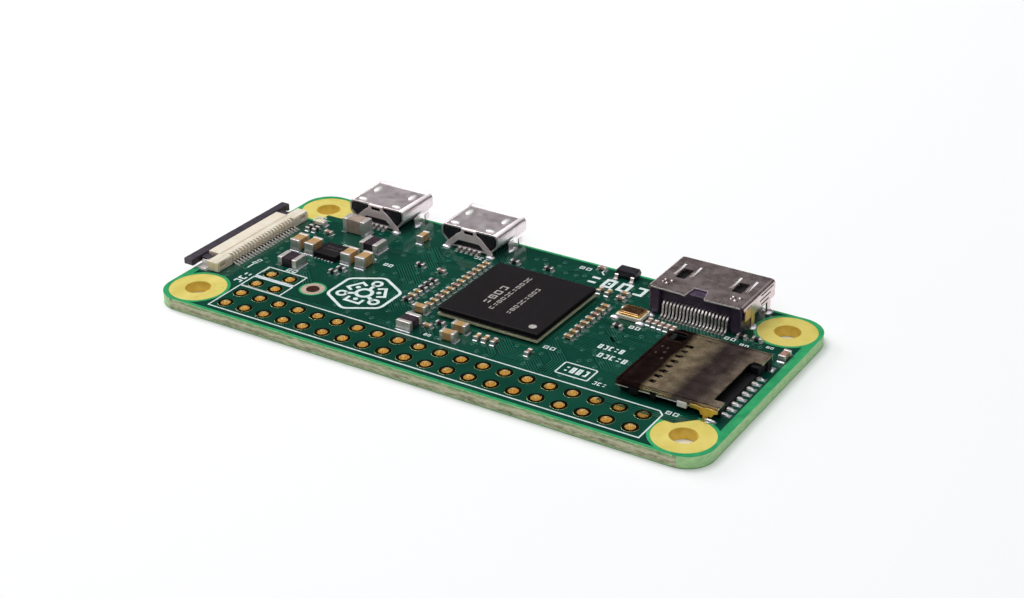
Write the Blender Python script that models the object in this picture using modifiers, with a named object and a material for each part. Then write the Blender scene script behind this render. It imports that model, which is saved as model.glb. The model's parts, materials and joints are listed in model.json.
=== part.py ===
"""Single board computer, 65 x 30 mm, with a 40-hole header pattern, two small data and power ports,
a video port, a memory card socket and a camera ribbon connector with a sliding latch.

Frame: X along the 65 mm side, with the camera connector at -X and the card socket at +X. Y along the
30 mm side, with the header holes at -Y and the ports at +Y. Z up, with the board's underside at 0.
Every size and place below is in millimetres. Heights marked "over the board" are measured from its top.
"""

import math

import bmesh
import bpy
from mathutils import Matrix, Vector

MM = 0.001

# Driving dimensions
BOARD_X = 65.0
BOARD_Y = 30.0
BOARD_T = 1.3
CORNER_R = 3.0
HOLE_X = 58.0
HOLE_Y = 23.0
HOLE_R = 1.375
RING_R = 3.1
RING_DEEP = 0.03
HEADER_COLUMNS = 20
PITCH = 2.54
HEADER_Y = -11.5
PIN_HOLE_R = 0.5

# Common to several pieces: the solder under a piece, sheet metal, the gap between two pieces, a contact's
# foot, how far a joined box reaches into its neighbour, and how far a cutter passes a face
SOLDER = 0.05
METAL = 0.15
GAP = 0.04
FOOT_Z = (0.08, 0.2)
OVERLAP = 0.1
THROUGH = 1.0
CLEAR = 0.2

# Places of the connectors
CAMERA_Y = 0.05
CAMERA_PINS = 22
CAMERA_PITCH = 0.5
POWER_X = -21.4
DATA_X = -8.8
VIDEO_X = 20.15
VIDEO_PINS = 19
VIDEO_PITCH = 0.4
CARD_Y = -1.9
CARD_PITCH = 1.1
CARD_PINS = 8
PROCESSOR = (2.8, 2.0)

MATERIALS = {
    "solder_mask": ((0.02, 0.11, 0.07), 0.3, 0.0),
    "cream_plastic": ((0.80, 0.76, 0.66), 0.5, 0.0),
    "black_plastic": ((0.02, 0.018, 0.022), 0.5, 0.0),
    "bright_metal": ((0.72, 0.70, 0.69), 0.25, 1.0),
    "dark_metal": ((0.42, 0.38, 0.34), 0.3, 1.0),
    "gold": ((0.83, 0.62, 0.28), 0.3, 1.0),
    "tin": ((0.80, 0.80, 0.80), 0.3, 1.0),
    "substrate": ((0.55, 0.58, 0.42), 0.5, 0.0),
    "mould": ((0.015, 0.012, 0.02), 0.4, 0.0),
    "tan_ceramic": ((0.58, 0.40, 0.20), 0.5, 0.0),
    "brown_ceramic": ((0.30, 0.22, 0.16), 0.5, 0.0),
    "dark_ferrite": ((0.05, 0.03, 0.05), 0.5, 0.0),
    "light_lens": ((0.85, 0.78, 0.66), 0.4, 0.0),
}


def clear_scene():
    for obj in list(bpy.data.objects):
        bpy.data.objects.remove(obj, do_unlink=True)


def new_collection(name):
    collection = bpy.data.collections.new(name)
    bpy.context.scene.collection.children.link(collection)
    return collection


def make_material(name):
    colour, roughness, metallic = MATERIALS[name]
    material = bpy.data.materials.new(name)
    material.use_nodes = True
    shader = material.node_tree.nodes["Principled BSDF"]
    shader.inputs["Base Color"].default_value = (*colour, 1.0)
    shader.inputs["Roughness"].default_value = roughness
    shader.inputs["Metallic"].default_value = metallic
    return material


clear_scene()
PARTS = new_collection("single_board_computer")
CUTTERS = new_collection("cutters")
FINISH = {name: make_material(name) for name in MATERIALS}


# ---------------------------------------------------------------- modelling helpers


def over(z):
    """A height over the board's top face, as a height over its underside."""
    return BOARD_T + z


def link(name, mesh, finish):
    """Makes the mesh a part with its own material, placed by the middle of its box."""
    corners = [vertex.co for vertex in mesh.vertices]
    low = Vector(min(co[axis] for co in corners) for axis in range(3))
    high = Vector(max(co[axis] for co in corners) for axis in range(3))
    middle = (low + high) / 2
    mesh.transform(Matrix.Translation(-middle))
    mesh.materials.clear()
    mesh.materials.append(FINISH[finish])
    obj = bpy.data.objects.new(name, mesh)
    obj.location = middle
    PARTS.objects.link(obj)
    return obj


def helper(obj):
    """Makes the object a Boolean's operand only."""
    for collection in list(obj.users_collection):
        collection.objects.unlink(obj)
    CUTTERS.objects.link(obj)
    obj.hide_render = True
    obj.display_type = "WIRE"
    return obj


def box_mesh(name, boxes):
    """One mesh of the given boxes, each a low corner and a high corner."""
    bm = bmesh.new()
    for low, high in boxes:
        low = Vector(low) * MM
        high = Vector(high) * MM
        size = Matrix.Diagonal((*(high - low), 1.0))
        bmesh.ops.create_cube(bm, size=1.0, matrix=Matrix.Translation((low + high) / 2) @ size)
    mesh = bpy.data.meshes.new(name)
    bm.to_mesh(mesh)
    bm.free()
    return mesh


def boolean(obj, mesh, operation):
    other = helper(link(obj.name + "_" + operation.lower(), mesh, "tin"))
    modifier = obj.modifiers.new(operation.title(), "BOOLEAN")
    modifier.operation = operation
    modifier.solver = "EXACT"
    modifier.object = other
    return obj


def join_boxes(obj, boxes):
    return boolean(obj, box_mesh(obj.name + "_joined", boxes), "UNION")


def cut_boxes(obj, boxes):
    return boolean(obj, box_mesh(obj.name + "_cut", boxes), "DIFFERENCE")


def box_part(name, finish, boxes, joined=(), cuts=()):
    """A part of one box, with further groups of boxes joined to it and cut from it."""
    obj = link(name, box_mesh(name, boxes), finish)
    for group in joined:
        join_boxes(obj, group)
    for group in cuts:
        cut_boxes(obj, group)
    return obj


def bevelled(obj, width, segments=1):
    modifier = obj.modifiers.new("Edges", "BEVEL")
    modifier.width = width * MM
    modifier.segments = segments
    modifier.limit_method = "ANGLE"
    modifier.angle_limit = math.radians(40)
    return obj


def circle(x, y, radius, sides):
    steps = [2 * math.pi * (i + 0.5) / sides for i in range(sides)]
    return [(x + radius * math.cos(a), y + radius * math.sin(a)) for a in steps]


def rectangle(x0, y0, x1, y1):
    return [(x0, y0), (x1, y0), (x1, y1), (x0, y1)]


def rounded(corners, radii, steps):
    """The outline with each corner replaced by an arc of its radius, in the given number of steps."""
    outline = []
    count = len(corners)
    for i, radius in enumerate(radii):
        here = Vector(corners[i])
        to_last = (Vector(corners[i - 1]) - here).normalized()
        to_next = (Vector(corners[(i + 1) % count]) - here).normalized()
        if radius == 0:
            outline.append(tuple(here))
            continue
        half = to_last.angle(to_next) / 2
        centre = here + (to_last + to_next).normalized() * (radius / math.sin(half))
        start = here + to_last * (radius / math.tan(half)) - centre
        end = here + to_next * (radius / math.tan(half)) - centre
        turn = start.angle_signed(end)
        for k in range(steps + 1):
            angle = -turn * k / steps
            spun = Matrix.Rotation(angle, 2) @ start
            outline.append(tuple(centre + spun))
    return outline


# Local XY of a flat outline laid in a world plane, with its thickness along the third axis.
PLANES = {
    "XY": Matrix.Identity(4),
    "XZ": Matrix(((1, 0, 0, 0), (0, 0, -1, 0), (0, 1, 0, 0), (0, 0, 0, 1))),
    "YZ": Matrix(((0, 0, 1, 0), (1, 0, 0, 0), (0, 1, 0, 0), (0, 0, 0, 1))),
}


def plate_mesh(name, outlines, plane, low, high):
    """A closed mesh: the first outline filled, less the others, from low to high along the normal."""
    curve = bpy.data.curves.new(name, "CURVE")
    curve.dimensions = "2D"
    curve.fill_mode = "BOTH"
    curve.extrude = (high - low) / 2 * MM
    for outline in outlines:
        spline = curve.splines.new("POLY")
        spline.points.add(len(outline) - 1)
        for point, (x, y) in zip(spline.points, outline):
            point.co = (x * MM, y * MM, 0.0, 1.0)
        spline.use_cyclic_u = True
    flat = bpy.data.objects.new(name, curve)
    CUTTERS.objects.link(flat)
    graph = bpy.context.evaluated_depsgraph_get()
    mesh = bpy.data.meshes.new_from_object(flat.evaluated_get(graph))
    bpy.data.objects.remove(flat, do_unlink=True)
    middle = (low + high) / 2 * MM
    offset = {"XY": (0, 0, middle), "XZ": (0, middle, 0), "YZ": (middle, 0, 0)}[plane]
    bm = bmesh.new()
    bm.from_mesh(mesh)
    bmesh.ops.remove_doubles(bm, verts=bm.verts, dist=1e-7)
    bmesh.ops.transform(bm, matrix=Matrix.Translation(offset) @ PLANES[plane], verts=bm.verts)
    bmesh.ops.recalc_face_normals(bm, faces=bm.faces)
    bm.to_mesh(mesh)
    bm.free()
    return mesh


def plate_part(name, finish, outlines, plane, low, high):
    return link(name, plate_mesh(name, outlines, plane, low, high), finish)


def row(count, pitch):
    """Places along a line, centred on 0."""
    return [(i - (count - 1) / 2) * pitch for i in range(count)]


def grown(outline_corners, amount):
    """Corners of a shape symmetric about x = 0, moved outwards by amount along X and Z."""
    middle = (min(z for _, z in outline_corners) + max(z for _, z in outline_corners)) / 2
    moved = []
    for x, z in outline_corners:
        out_x = 1 if x > 0 else -1
        out_z = 1 if z > middle else -1
        moved.append((x + amount * out_x, z + amount * out_z))
    return moved


# ---------------------------------------------------------------- circuit board

CORNER_STEPS = 6
HOLE_SIDES = 24
RING_SIDES = 32
PIN_SIDES = 8


def header_holes():
    """The places of the 40 header holes and of the four holes beside them."""
    columns = row(HEADER_COLUMNS, PITCH)
    places = [(x, HEADER_Y + side * PITCH / 2) for x in columns for side in (-1, 1)]
    return places + [(x, HEADER_Y + rows * PITCH) for x in columns[:2] for rows in (1.5, 2.5)]


def circuit_board():
    x = BOARD_X / 2
    y = BOARD_Y / 2
    past = over(THROUGH)
    mounting = [(side_x * HOLE_X / 2, side_y * HOLE_Y / 2) for side_x in (-1, 1) for side_y in (-1, 1)]
    outlines = [rounded(rectangle(-x, -y, x, y), [CORNER_R] * 4, CORNER_STEPS)]
    outlines += [circle(hole_x, hole_y, HOLE_R, HOLE_SIDES) for hole_x, hole_y in mounting]
    board = plate_part("circuit_board", "solder_mask", outlines, "XY", 0.0, BOARD_T)
    rings = [circle(hole_x, hole_y, RING_R, RING_SIDES) for hole_x, hole_y in mounting]
    boolean(board, plate_mesh("mask_openings", rings, "XY", over(-RING_DEEP), past), "DIFFERENCE")
    pins = [circle(hole_x, hole_y, PIN_HOLE_R, PIN_SIDES) for hole_x, hole_y in header_holes()]
    boolean(board, plate_mesh("pin_holes", pins, "XY", -THROUGH, past), "DIFFERENCE")


# ---------------------------------------------------------------- camera ribbon connector

CAMERA_TOP = 1.15
CAMERA_ROOF = 0.75
CAMERA_FLOOR = 0.3
CAMERA_FRONT = -32.3
CAMERA_STEP = -30.7
CAMERA_BACK = -29.3
CAMERA_CORE = 5.9
CAMERA_HALF = 7.95
CAMERA_SLOT_X = (-30.35, -29.2)
CAMERA_SLOT_HALF = 0.12
CAMERA_CHANNEL_X = (-31.15, -30.2)
CAMERA_CHANNEL_HALF = 0.14
CAMERA_CHANNEL_TOP = 0.4
CAMERA_POCKET_X = -29.7
CAMERA_POCKET_Y = (7.0, 7.5)
CAMERA_POCKET_Z = (0.45, 0.85)
CAMERA_BLADE_X = (-30.95, -28.7)
CAMERA_BLADE_HALF = 0.09
CAMERA_BLADE_RISE = (-30.95, -30.84)
CAMERA_STRIP_X = (-31.1, -30.82)
CAMERA_STRIP_Z = (0.34, 0.46)
CAMERA_STRIP_HALF = 5.4
NAIL_X = (-32.1, -30.95)
NAIL_Y = 7.2
NAIL_REACH = 0.9
NAIL_TOP = 0.8
LATCH_OUT = -33.55
LATCH_IN = -32.4
LATCH_HALF = 8.5
LATCH_Z = (0.3, 1.1)
TONGUE_X = -31.3
TONGUE_HALF = 5.6
TONGUE_Z = (0.52, 0.7)
LATCH_ARM_X = -30.85
LATCH_ARM_Y = (6.1, 7.0)
LATCH_ARM_TOP = 0.9


def camera_box(x0, y0, z0, x1, y1, z1):
    return ((x0, CAMERA_Y + y0, over(z0)), (x1, CAMERA_Y + y1, over(z1)))


def both_ends(x0, y0, z0, x1, y1, z1):
    """The box at +Y and its mirror image at -Y, about the connector's middle."""
    return [camera_box(x0, y0, z0, x1, y1, z1), camera_box(x0, -y1, z0, x1, -y0, z1)]


def camera_connector():
    core = CAMERA_CORE
    half = CAMERA_HALF
    places = row(CAMERA_PINS, CAMERA_PITCH)
    back = camera_box(CAMERA_STEP, -half, SOLDER, CAMERA_BACK, half, CAMERA_TOP)
    roof = camera_box(CAMERA_FRONT, -core, CAMERA_ROOF, CAMERA_STEP + CLEAR, core, CAMERA_TOP)
    floor = camera_box(CAMERA_FRONT, -core, SOLDER, CAMERA_STEP + CLEAR, core, CAMERA_FLOOR)
    slots = []
    channels = []
    for y in places:
        near, far = y - CAMERA_SLOT_HALF, y + CAMERA_SLOT_HALF
        slots.append(camera_box(CAMERA_SLOT_X[0], near, -CLEAR, CAMERA_SLOT_X[1], far, CAMERA_TOP + CLEAR))
        near, far = y - CAMERA_CHANNEL_HALF, y + CAMERA_CHANNEL_HALF
        channels.append(
            camera_box(CAMERA_CHANNEL_X[0], near, -CLEAR, CAMERA_CHANNEL_X[1], far, CAMERA_CHANNEL_TOP)
        )
    (near, far), (low, high) = CAMERA_POCKET_Y, CAMERA_POCKET_Z
    pockets = both_ends(CAMERA_POCKET_X, near, low, CAMERA_BACK + OVERLAP, far, high)
    box_part(
        "camera_connector_housing",
        "cream_plastic",
        [back],
        joined=[[roof, floor]],
        cuts=[slots, channels, pockets],
    )

    inside = LATCH_IN - OVERLAP
    bar = camera_box(LATCH_OUT, -LATCH_HALF, LATCH_Z[0], LATCH_IN, LATCH_HALF, LATCH_Z[1])
    tongue = camera_box(inside, -TONGUE_HALF, TONGUE_Z[0], TONGUE_X, TONGUE_HALF, TONGUE_Z[1])
    near, far = LATCH_ARM_Y
    arms = both_ends(inside, near, LATCH_Z[0], LATCH_ARM_X, far, LATCH_ARM_TOP)
    box_part("camera_connector_latch", "black_plastic", [bar], joined=[[tongue, *arms]])

    (left, right), (low, high) = CAMERA_STRIP_X, CAMERA_STRIP_Z
    strip = camera_box(left, -CAMERA_STRIP_HALF, low, right, CAMERA_STRIP_HALF, high)
    blades = []
    risers = []
    for y in places:
        near, far = y - CAMERA_BLADE_HALF, y + CAMERA_BLADE_HALF
        blades.append(camera_box(CAMERA_BLADE_X[0], near, FOOT_Z[0], CAMERA_BLADE_X[1], far, FOOT_Z[1]))
        risers.append(camera_box(CAMERA_BLADE_RISE[0], near, 0.15, CAMERA_BLADE_RISE[1], far, 0.4))
    box_part("camera_connector_contacts", "tin", [strip], joined=[risers, blades])

    for side, name in ((-1, "near"), (1, "far")):
        wall = sorted((side * NAIL_Y, side * (NAIL_Y + METAL)))
        foot = sorted((side * NAIL_Y, side * (NAIL_Y + NAIL_REACH)))
        box_part(
            "camera_connector_nail_" + name,
            "tin",
            [camera_box(NAIL_X[0], wall[0], SOLDER, NAIL_X[1] + OVERLAP, wall[1], NAIL_TOP)],
            joined=[[camera_box(NAIL_X[0], foot[0], SOLDER, NAIL_X[1], foot[1], SOLDER + METAL)]],
        )


# ---------------------------------------------------------------- power and data ports

PORT_REAR = 10.6
PORT_FRONT = 16.1
PORT_LIP = 16.35
PORT_TOP = 2.65
PORT_WALL = 0.22
PORT_FLAP_Y = (10.4, 10.55)
PORT_CORNERS = [(-2.55, 0.12), (2.55, 0.12), (3.7, 1.3), (3.7, PORT_TOP), (-3.7, PORT_TOP), (-3.7, 1.3)]
PORT_RADII = [0.3, 0.3, 0.5, 0.55, 0.55, 0.5]
PORT_PINS = 5
PORT_PITCH = 0.65
PORT_PIN_Y = (9.95, 11.4)
PORT_PIN_HALF = 0.15
PORT_STRIP = (1.5, 11.3, 11.6)
PORT_BRIDGE_HALF = 0.98
PORT_BRIDGE_Z = (2.46, 2.6)
PORT_SLOT_HALF = 0.6
PORT_SLOT_Z = (2.15, 2.42)
PORT_OPEN_HALF = 2.3
PORT_OPEN_Y = (10.5, 12.5)
PORT_OPEN_TOP = 0.36
PORT_FLARE = 0.15
PORT_BLOCK_Y = (10.75, 12.4)
PORT_TONGUE_HALF = 2.4
PORT_TONGUE_FRONT = 15.4
PORT_TONGUE_Z = (1.5, 1.95)
PORT_FLAP = [
    (-1.0, 2.62), (-1.0, 2.2), (-1.6, 1.85), (-3.05, 0.4), (-3.05, 0.06), (-2.5, 0.06),
    (-1.35, 1.15), (1.35, 1.15), (2.5, 0.06), (3.05, 0.06), (3.05, 0.4), (1.6, 1.85),
    (1.0, 2.2), (1.0, 2.62),
]


def block_of(x, half, y_range, z_range):
    """A box about x, with its heights measured over the board."""
    return ((x - half, y_range[0], over(z_range[0])), (x + half, y_range[1], over(z_range[1])))


def port_outline(x0, inset, steps=3):
    """The port shell's rounded outline in XZ, moved in by inset."""
    corners = [(x0 + x, over(z)) for x, z in grown(PORT_CORNERS, -inset)]
    radii = [max(radius - inset, 0.12) for radius in PORT_RADII]
    return rounded(corners, radii, steps)


def small_port(name, x0):
    rings = [port_outline(x0, 0.0), port_outline(x0, PORT_WALL)]
    obj = plate_part(name + "_shell", "bright_metal", rings, "XZ", PORT_REAR, PORT_FRONT)
    flap = [(x0 + x, over(z)) for x, z in PORT_FLAP]
    slot = rectangle(x0 - PORT_SLOT_HALF, over(PORT_SLOT_Z[0]), x0 + PORT_SLOT_HALF, over(PORT_SLOT_Z[1]))
    boolean(obj, plate_mesh(name + "_flap", [flap, slot[::-1]], "XZ", *PORT_FLAP_Y), "UNION")
    bridge_y = (sum(PORT_FLAP_Y) / 2 - 0.025, PORT_REAR + CLEAR)
    join_boxes(obj, [block_of(x0, PORT_BRIDGE_HALF, bridge_y, PORT_BRIDGE_Z)])
    cut_boxes(obj, [block_of(x0, PORT_OPEN_HALF, PORT_OPEN_Y, (-CLEAR, PORT_OPEN_TOP))])
    lip = [port_outline(x0, -PORT_FLARE), port_outline(x0, PORT_WALL - OVERLAP)]
    boolean(obj, plate_mesh(name + "_lip", lip, "XZ", PORT_FRONT - 0.06, PORT_LIP), "UNION")

    block = [port_outline(x0, PORT_WALL + GAP)]
    insulator = plate_part(name + "_insulator", "black_plastic", block, "XZ", *PORT_BLOCK_Y)
    tongue_y = (PORT_BLOCK_Y[1] - CLEAR, PORT_TONGUE_FRONT)
    join_boxes(insulator, [block_of(x0, PORT_TONGUE_HALF, tongue_y, PORT_TONGUE_Z)])

    strip = block_of(x0, PORT_STRIP[0], PORT_STRIP[1:], FOOT_Z)
    tails = [block_of(x0 + x, PORT_PIN_HALF, PORT_PIN_Y, FOOT_Z) for x in row(PORT_PINS, PORT_PITCH)]
    box_part(name + "_contacts", "tin", [strip], joined=[tails])


# ---------------------------------------------------------------- video port

VIDEO_REAR = 8.1
VIDEO_FRONT = 15.7
VIDEO_TOP = 3.2
VIDEO_WALL = 0.2
VIDEO_HALF = 5.42
VIDEO_RING = 9.45
VIDEO_CORNERS = [
    (-4.2, 0.15), (4.2, 0.15), (VIDEO_HALF, 1.3), (VIDEO_HALF, VIDEO_TOP), (-VIDEO_HALF, VIDEO_TOP),
    (-VIDEO_HALF, 1.3),
]
VIDEO_RADII = [0.4, 0.4, 0.5, 0.3, 0.3, 0.5]
VIDEO_PIN_Z = 1.5
WINDOW_X = 3.2
WINDOW_HALF = 0.55
WINDOW_Y = (10.95, 13.2)
SLOT_X = (0.75, 1.05)
SLOT_Y = (11.5, 14.3)
EAVE_HALF = 5.1
EAVE_DOWN = (0.19, 0.01)
NOTCH_FRONT = 9.8
NOTCH_SIDES = [(-1.0, 7.0), (1.15, 7.0), (0.65, NOTCH_FRONT), (-0.9, NOTCH_FRONT)]
VIDEO_BLOCK_Y = (9.3, 11.0)
VIDEO_WALL_HALF = 4.6
VIDEO_WALL_Y = (8.75, 9.4)
VIDEO_WALL_LOW = 0.5
VIDEO_TONGUE_HALF = 3.8
VIDEO_TONGUE_FRONT = 15.0
VIDEO_TONGUE_Z = (1.5, 2.1)
SIDE_BLOCK_X = 4.62
SIDE_BLOCK_HALF = 0.53
PIN_SLOT_HALF = 3.9
PIN_SLOT_Y = (8.6, 9.15)
VIDEO_PIN_HALF = 0.09
VIDEO_PIN_Y = (8.2, 9.0)
VIDEO_LEG_Y = (8.15, 8.25)
VIDEO_FOOT_Y = (7.55, 8.25)
VIDEO_FOOT_Z = (0.08, 0.18)


def video_outline(inset, steps=2):
    corners = [(VIDEO_X + x, over(z)) for x, z in grown(VIDEO_CORNERS, -inset)]
    radii = [max(radius - inset, 0.1) for radius in VIDEO_RADII]
    return rounded(corners, radii, steps)


def window_boxes(x):
    """The square hole in the top plate and the slot on each side of it, with a thin spring arm between."""
    low, high = over(VIDEO_TOP - 2 * CLEAR), over(VIDEO_TOP + CLEAR)
    boxes = [((x - WINDOW_HALF, WINDOW_Y[0], low), (x + WINDOW_HALF, WINDOW_Y[1], high))]
    for near, far in (SLOT_X, (-SLOT_X[1], -SLOT_X[0])):
        boxes.append(((x + near, SLOT_Y[0], low), (x + far, SLOT_Y[1], high)))
    return boxes


def video_port():
    rings = [video_outline(0.0), video_outline(VIDEO_WALL)]
    obj = plate_part("video_port_shell", "dark_metal", rings, "XZ", VIDEO_RING, VIDEO_FRONT)
    x0 = VIDEO_X
    under, upper = (over(VIDEO_TOP - down) for down in EAVE_DOWN)
    eave = rectangle(x0 - EAVE_HALF, VIDEO_REAR - OVERLAP, x0 + EAVE_HALF, VIDEO_RING + CLEAR)
    boolean(obj, plate_mesh("video_port_roof", [eave], "XY", under, upper), "UNION")
    notch = [(x0 + x, y) for x, y in NOTCH_SIDES]
    low, high = over(VIDEO_TOP - 2 * CLEAR), over(VIDEO_TOP + CLEAR)
    boolean(obj, plate_mesh("video_port_notch", [notch], "XY", low, high), "DIFFERENCE")
    cut_boxes(obj, window_boxes(x0 - WINDOW_X) + window_boxes(x0 + WINDOW_X))

    block = [video_outline(VIDEO_WALL + GAP)]
    insulator = plate_part("video_port_insulator", "black_plastic", block, "XZ", *VIDEO_BLOCK_Y)
    top = VIDEO_TOP - EAVE_DOWN[0] - GAP
    wall = block_of(x0, VIDEO_WALL_HALF, VIDEO_WALL_Y, (VIDEO_WALL_LOW, top))
    tongue_y = (VIDEO_BLOCK_Y[1] - CLEAR, VIDEO_TONGUE_FRONT)
    join_boxes(insulator, [wall, block_of(x0, VIDEO_TONGUE_HALF, tongue_y, VIDEO_TONGUE_Z)])
    side_y = (VIDEO_REAR, VIDEO_WALL_Y[1] + 0.01)
    blocks = [block_of(x0 + x, SIDE_BLOCK_HALF, side_y, (SOLDER, top)) for x in (-SIDE_BLOCK_X, SIDE_BLOCK_X)]
    join_boxes(insulator, blocks)
    slot_z = (VIDEO_PIN_Z - OVERLAP, VIDEO_PIN_Z + CLEAR)
    cut_boxes(insulator, [block_of(x0, PIN_SLOT_HALF, PIN_SLOT_Y, slot_z)])

    pin_top = VIDEO_PIN_Z + 0.1
    strip_y = (VIDEO_PIN_Y[1] - OVERLAP, VIDEO_PIN_Y[1] + OVERLAP)
    strip = block_of(x0, VIDEO_TONGUE_HALF, strip_y, (VIDEO_PIN_Z - 0.01, pin_top + 0.01))
    arms, legs, feet = [], [], []
    for x in row(VIDEO_PINS, VIDEO_PITCH):
        arms.append(block_of(x0 + x, VIDEO_PIN_HALF, VIDEO_PIN_Y, (VIDEO_PIN_Z, pin_top)))
        legs.append(block_of(x0 + x, VIDEO_PIN_HALF, VIDEO_LEG_Y, (0.1, pin_top)))
        feet.append(block_of(x0 + x, VIDEO_PIN_HALF, VIDEO_FOOT_Y, VIDEO_FOOT_Z))
    box_part("video_port_contacts", "tin", [strip], joined=[arms, legs, feet])


# ---------------------------------------------------------------- memory card socket

CARD_TOP = 1.42
CARD_HALF_Y = 6.0
CARD_LEFT = 19.85
CARD_RIGHT = 30.7
CARD_WINDOW = 29.5
CARD_SKIRT = 0.85
CONTACT_ROW_X = 23.05
CONTACT_MIDDLE = CARD_Y - 0.67
CONTACT_HOLE_R = 0.36
STOP_HOLE = (21.15, CARD_Y + 4.45, 0.9)
SKIRT_RIGHT = 27.7
CORNER_CUT = 0.9
STEP_NEAR = 1.35
STEP_FAR = 2.3
LUG_X = (26.45, 27.45)
LUG_Z = (0.5, 1.1)
CARD_FLOOR = 0.4
RAIL_LOW = 0.3
RAIL_WIDTH = 0.7
STOP_RIGHT = CARD_LEFT + 1.0
CHANNEL_HALF = 0.3
CHANNEL_TOP = 0.6
BLADE_HALF = 0.2
BLADE_X = (22.6, 28.6)
BLADE_Z = (0.44, 0.5)
TAIL_X = (28.5, 31.05)
RISER_X = (28.5, 28.62)
CARD_STRIP_X = (28.4, 28.9)
CARD_STRIP_Z = (0.42, 0.52)
SPRING_UPPER = ((27.8, 30.6), (0.85, 1.25))
SPRING_LOWER = ((28.95, 30.0), (0.4, 0.9))
SPRING_FOOT = ((29.2, 29.7), (SOLDER, 0.7))
SPRING_Y = (-0.2, -0.06)
SPRING_REACH = -0.45
PEGS = [(21.3, 22.3, 1.1), (23.6, 24.15, 0.95)]


def card_cover_outline():
    y0, y1 = CARD_Y - CARD_HALF_Y, CARD_Y + CARD_HALF_Y
    return [
        (CARD_LEFT, y0), (CARD_RIGHT, y0), (CARD_RIGHT, y0 + STEP_NEAR), (CARD_WINDOW, y0 + STEP_NEAR),
        (CARD_WINDOW, y1 - STEP_FAR - 0.6), (CARD_WINDOW + 0.2, y1 - STEP_FAR), (CARD_RIGHT, y1 - STEP_FAR),
        (CARD_RIGHT, y1), (CARD_LEFT + CORNER_CUT, y1), (CARD_LEFT, y1 - CORNER_CUT),
    ]


def card_contact_places():
    return [CONTACT_MIDDLE + y for y in row(CARD_PINS, CARD_PITCH)]


def upright(x_range, y_range, z_range):
    """A box of three ranges, with its heights measured over the board."""
    return ((x_range[0], y_range[0], over(z_range[0])), (x_range[1], y_range[1], over(z_range[1])))


def card_socket():
    y0, y1 = CARD_Y - CARD_HALF_Y, CARD_Y + CARD_HALF_Y
    outlines = [card_cover_outline()]
    for y in card_contact_places():
        outlines.append(circle(CONTACT_ROW_X, y, CONTACT_HOLE_R, 8))
    outlines.append(circle(*STOP_HOLE, 12))
    cover = plate_part(
        "card_socket_cover", "dark_metal", outlines, "XY", over(CARD_TOP - METAL), over(CARD_TOP)
    )
    low, high = over(CARD_SKIRT), over(CARD_TOP - 0.05)
    near = ((CARD_LEFT, y0, low), (SKIRT_RIGHT, y0 + METAL, high))
    far = ((CARD_LEFT + CORNER_CUT, y1 - METAL, low), (CARD_RIGHT, y1, high))
    left = ((CARD_LEFT, y0 + 0.02, low), (CARD_LEFT + METAL, y1 - CORNER_CUT - 0.02, high))
    lug = ((LUG_X[0], y0 - 0.12, over(LUG_Z[0])), (LUG_X[1], y0 + METAL - 0.01, over(LUG_Z[1])))
    join_boxes(cover, [near, far])
    join_boxes(cover, [left])
    join_boxes(cover, [lug])
    notches = []
    for x0, x1, height in PEGS:
        low, high = over(RAIL_LOW), over(height + SOLDER)
        notches.append(((x0 - SOLDER, y0 - OVERLAP, low), (x1 + SOLDER, y0 + METAL + OVERLAP, high)))
    cut_boxes(cover, notches)

    inner = METAL + GAP
    floor = (
        (CARD_LEFT + inner, y0 + inner, over(SOLDER)),
        (CARD_WINDOW + 0.9, y1 - inner, over(CARD_FLOOR)),
    )
    low, top = over(RAIL_LOW), over(CARD_TOP - METAL - GAP)
    rails = [
        ((CARD_LEFT + inner, y0 + inner, low), (CARD_RIGHT - 0.1, y0 + RAIL_WIDTH, top)),
        ((CARD_LEFT + inner, y1 - RAIL_WIDTH - CLEAR, low), (CARD_RIGHT - 0.1, y1 - inner, top)),
    ]
    stop = ((CARD_LEFT + inner, y0 + RAIL_WIDTH - CLEAR, low), (STOP_RIGHT, y1 - RAIL_WIDTH, top))
    cut_low, cut_high = over(-OVERLAP), over(CHANNEL_TOP)
    channels = []
    for y in card_contact_places():
        channels.append(((22.0, y - CHANNEL_HALF, cut_low), (31.0, y + CHANNEL_HALF, cut_high)))
    corner = [(19.0, y1 - 1.1), (21.0, y1 + 1.0), (19.0, y1 + 1.0)]
    pegs = []
    for x0, x1, height in PEGS:
        pegs.append(((x0, y0 - 0.02, over(RAIL_LOW + 0.05)), (x1, y0 + 0.3, over(height))))
    groups = [rails, [stop], pegs]
    base = box_part("card_socket_base", "black_plastic", [floor], joined=groups, cuts=[channels])
    boolean(base, plate_mesh("card_corner", [corner], "XY", cut_low, over(2.0)), "DIFFERENCE")

    strip = upright(CARD_STRIP_X, (y0 + 1.0, y1 - 1.2), CARD_STRIP_Z)
    springs, tails, risers = [], [], []
    for y in card_contact_places():
        across = (y - BLADE_HALF, y + BLADE_HALF)
        springs.append(upright(BLADE_X, across, BLADE_Z))
        tails.append(upright(TAIL_X, across, FOOT_Z))
        risers.append(upright(RISER_X, across, (0.1, 0.47)))
    box_part("card_socket_contacts", "tin", [strip], joined=[springs, risers, tails])

    sheet = (y0 + SPRING_Y[0], y0 + SPRING_Y[1])
    upper = upright(SPRING_UPPER[0], sheet, SPRING_UPPER[1])
    lower = upright(SPRING_LOWER[0], sheet, SPRING_LOWER[1])
    foot = upright(SPRING_FOOT[0], (y0 + SPRING_REACH, y0 - 0.08), SPRING_FOOT[1])
    box_part("card_detect_spring", "gold", [upper], joined=[[lower], [foot]])


# ---------------------------------------------------------------- chips


def centred_box(x, y, size_x, size_y, z0, z1):
    return ((x - size_x / 2, y - size_y / 2, over(z0)), (x + size_x / 2, y + size_y / 2, over(z1)))


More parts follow.
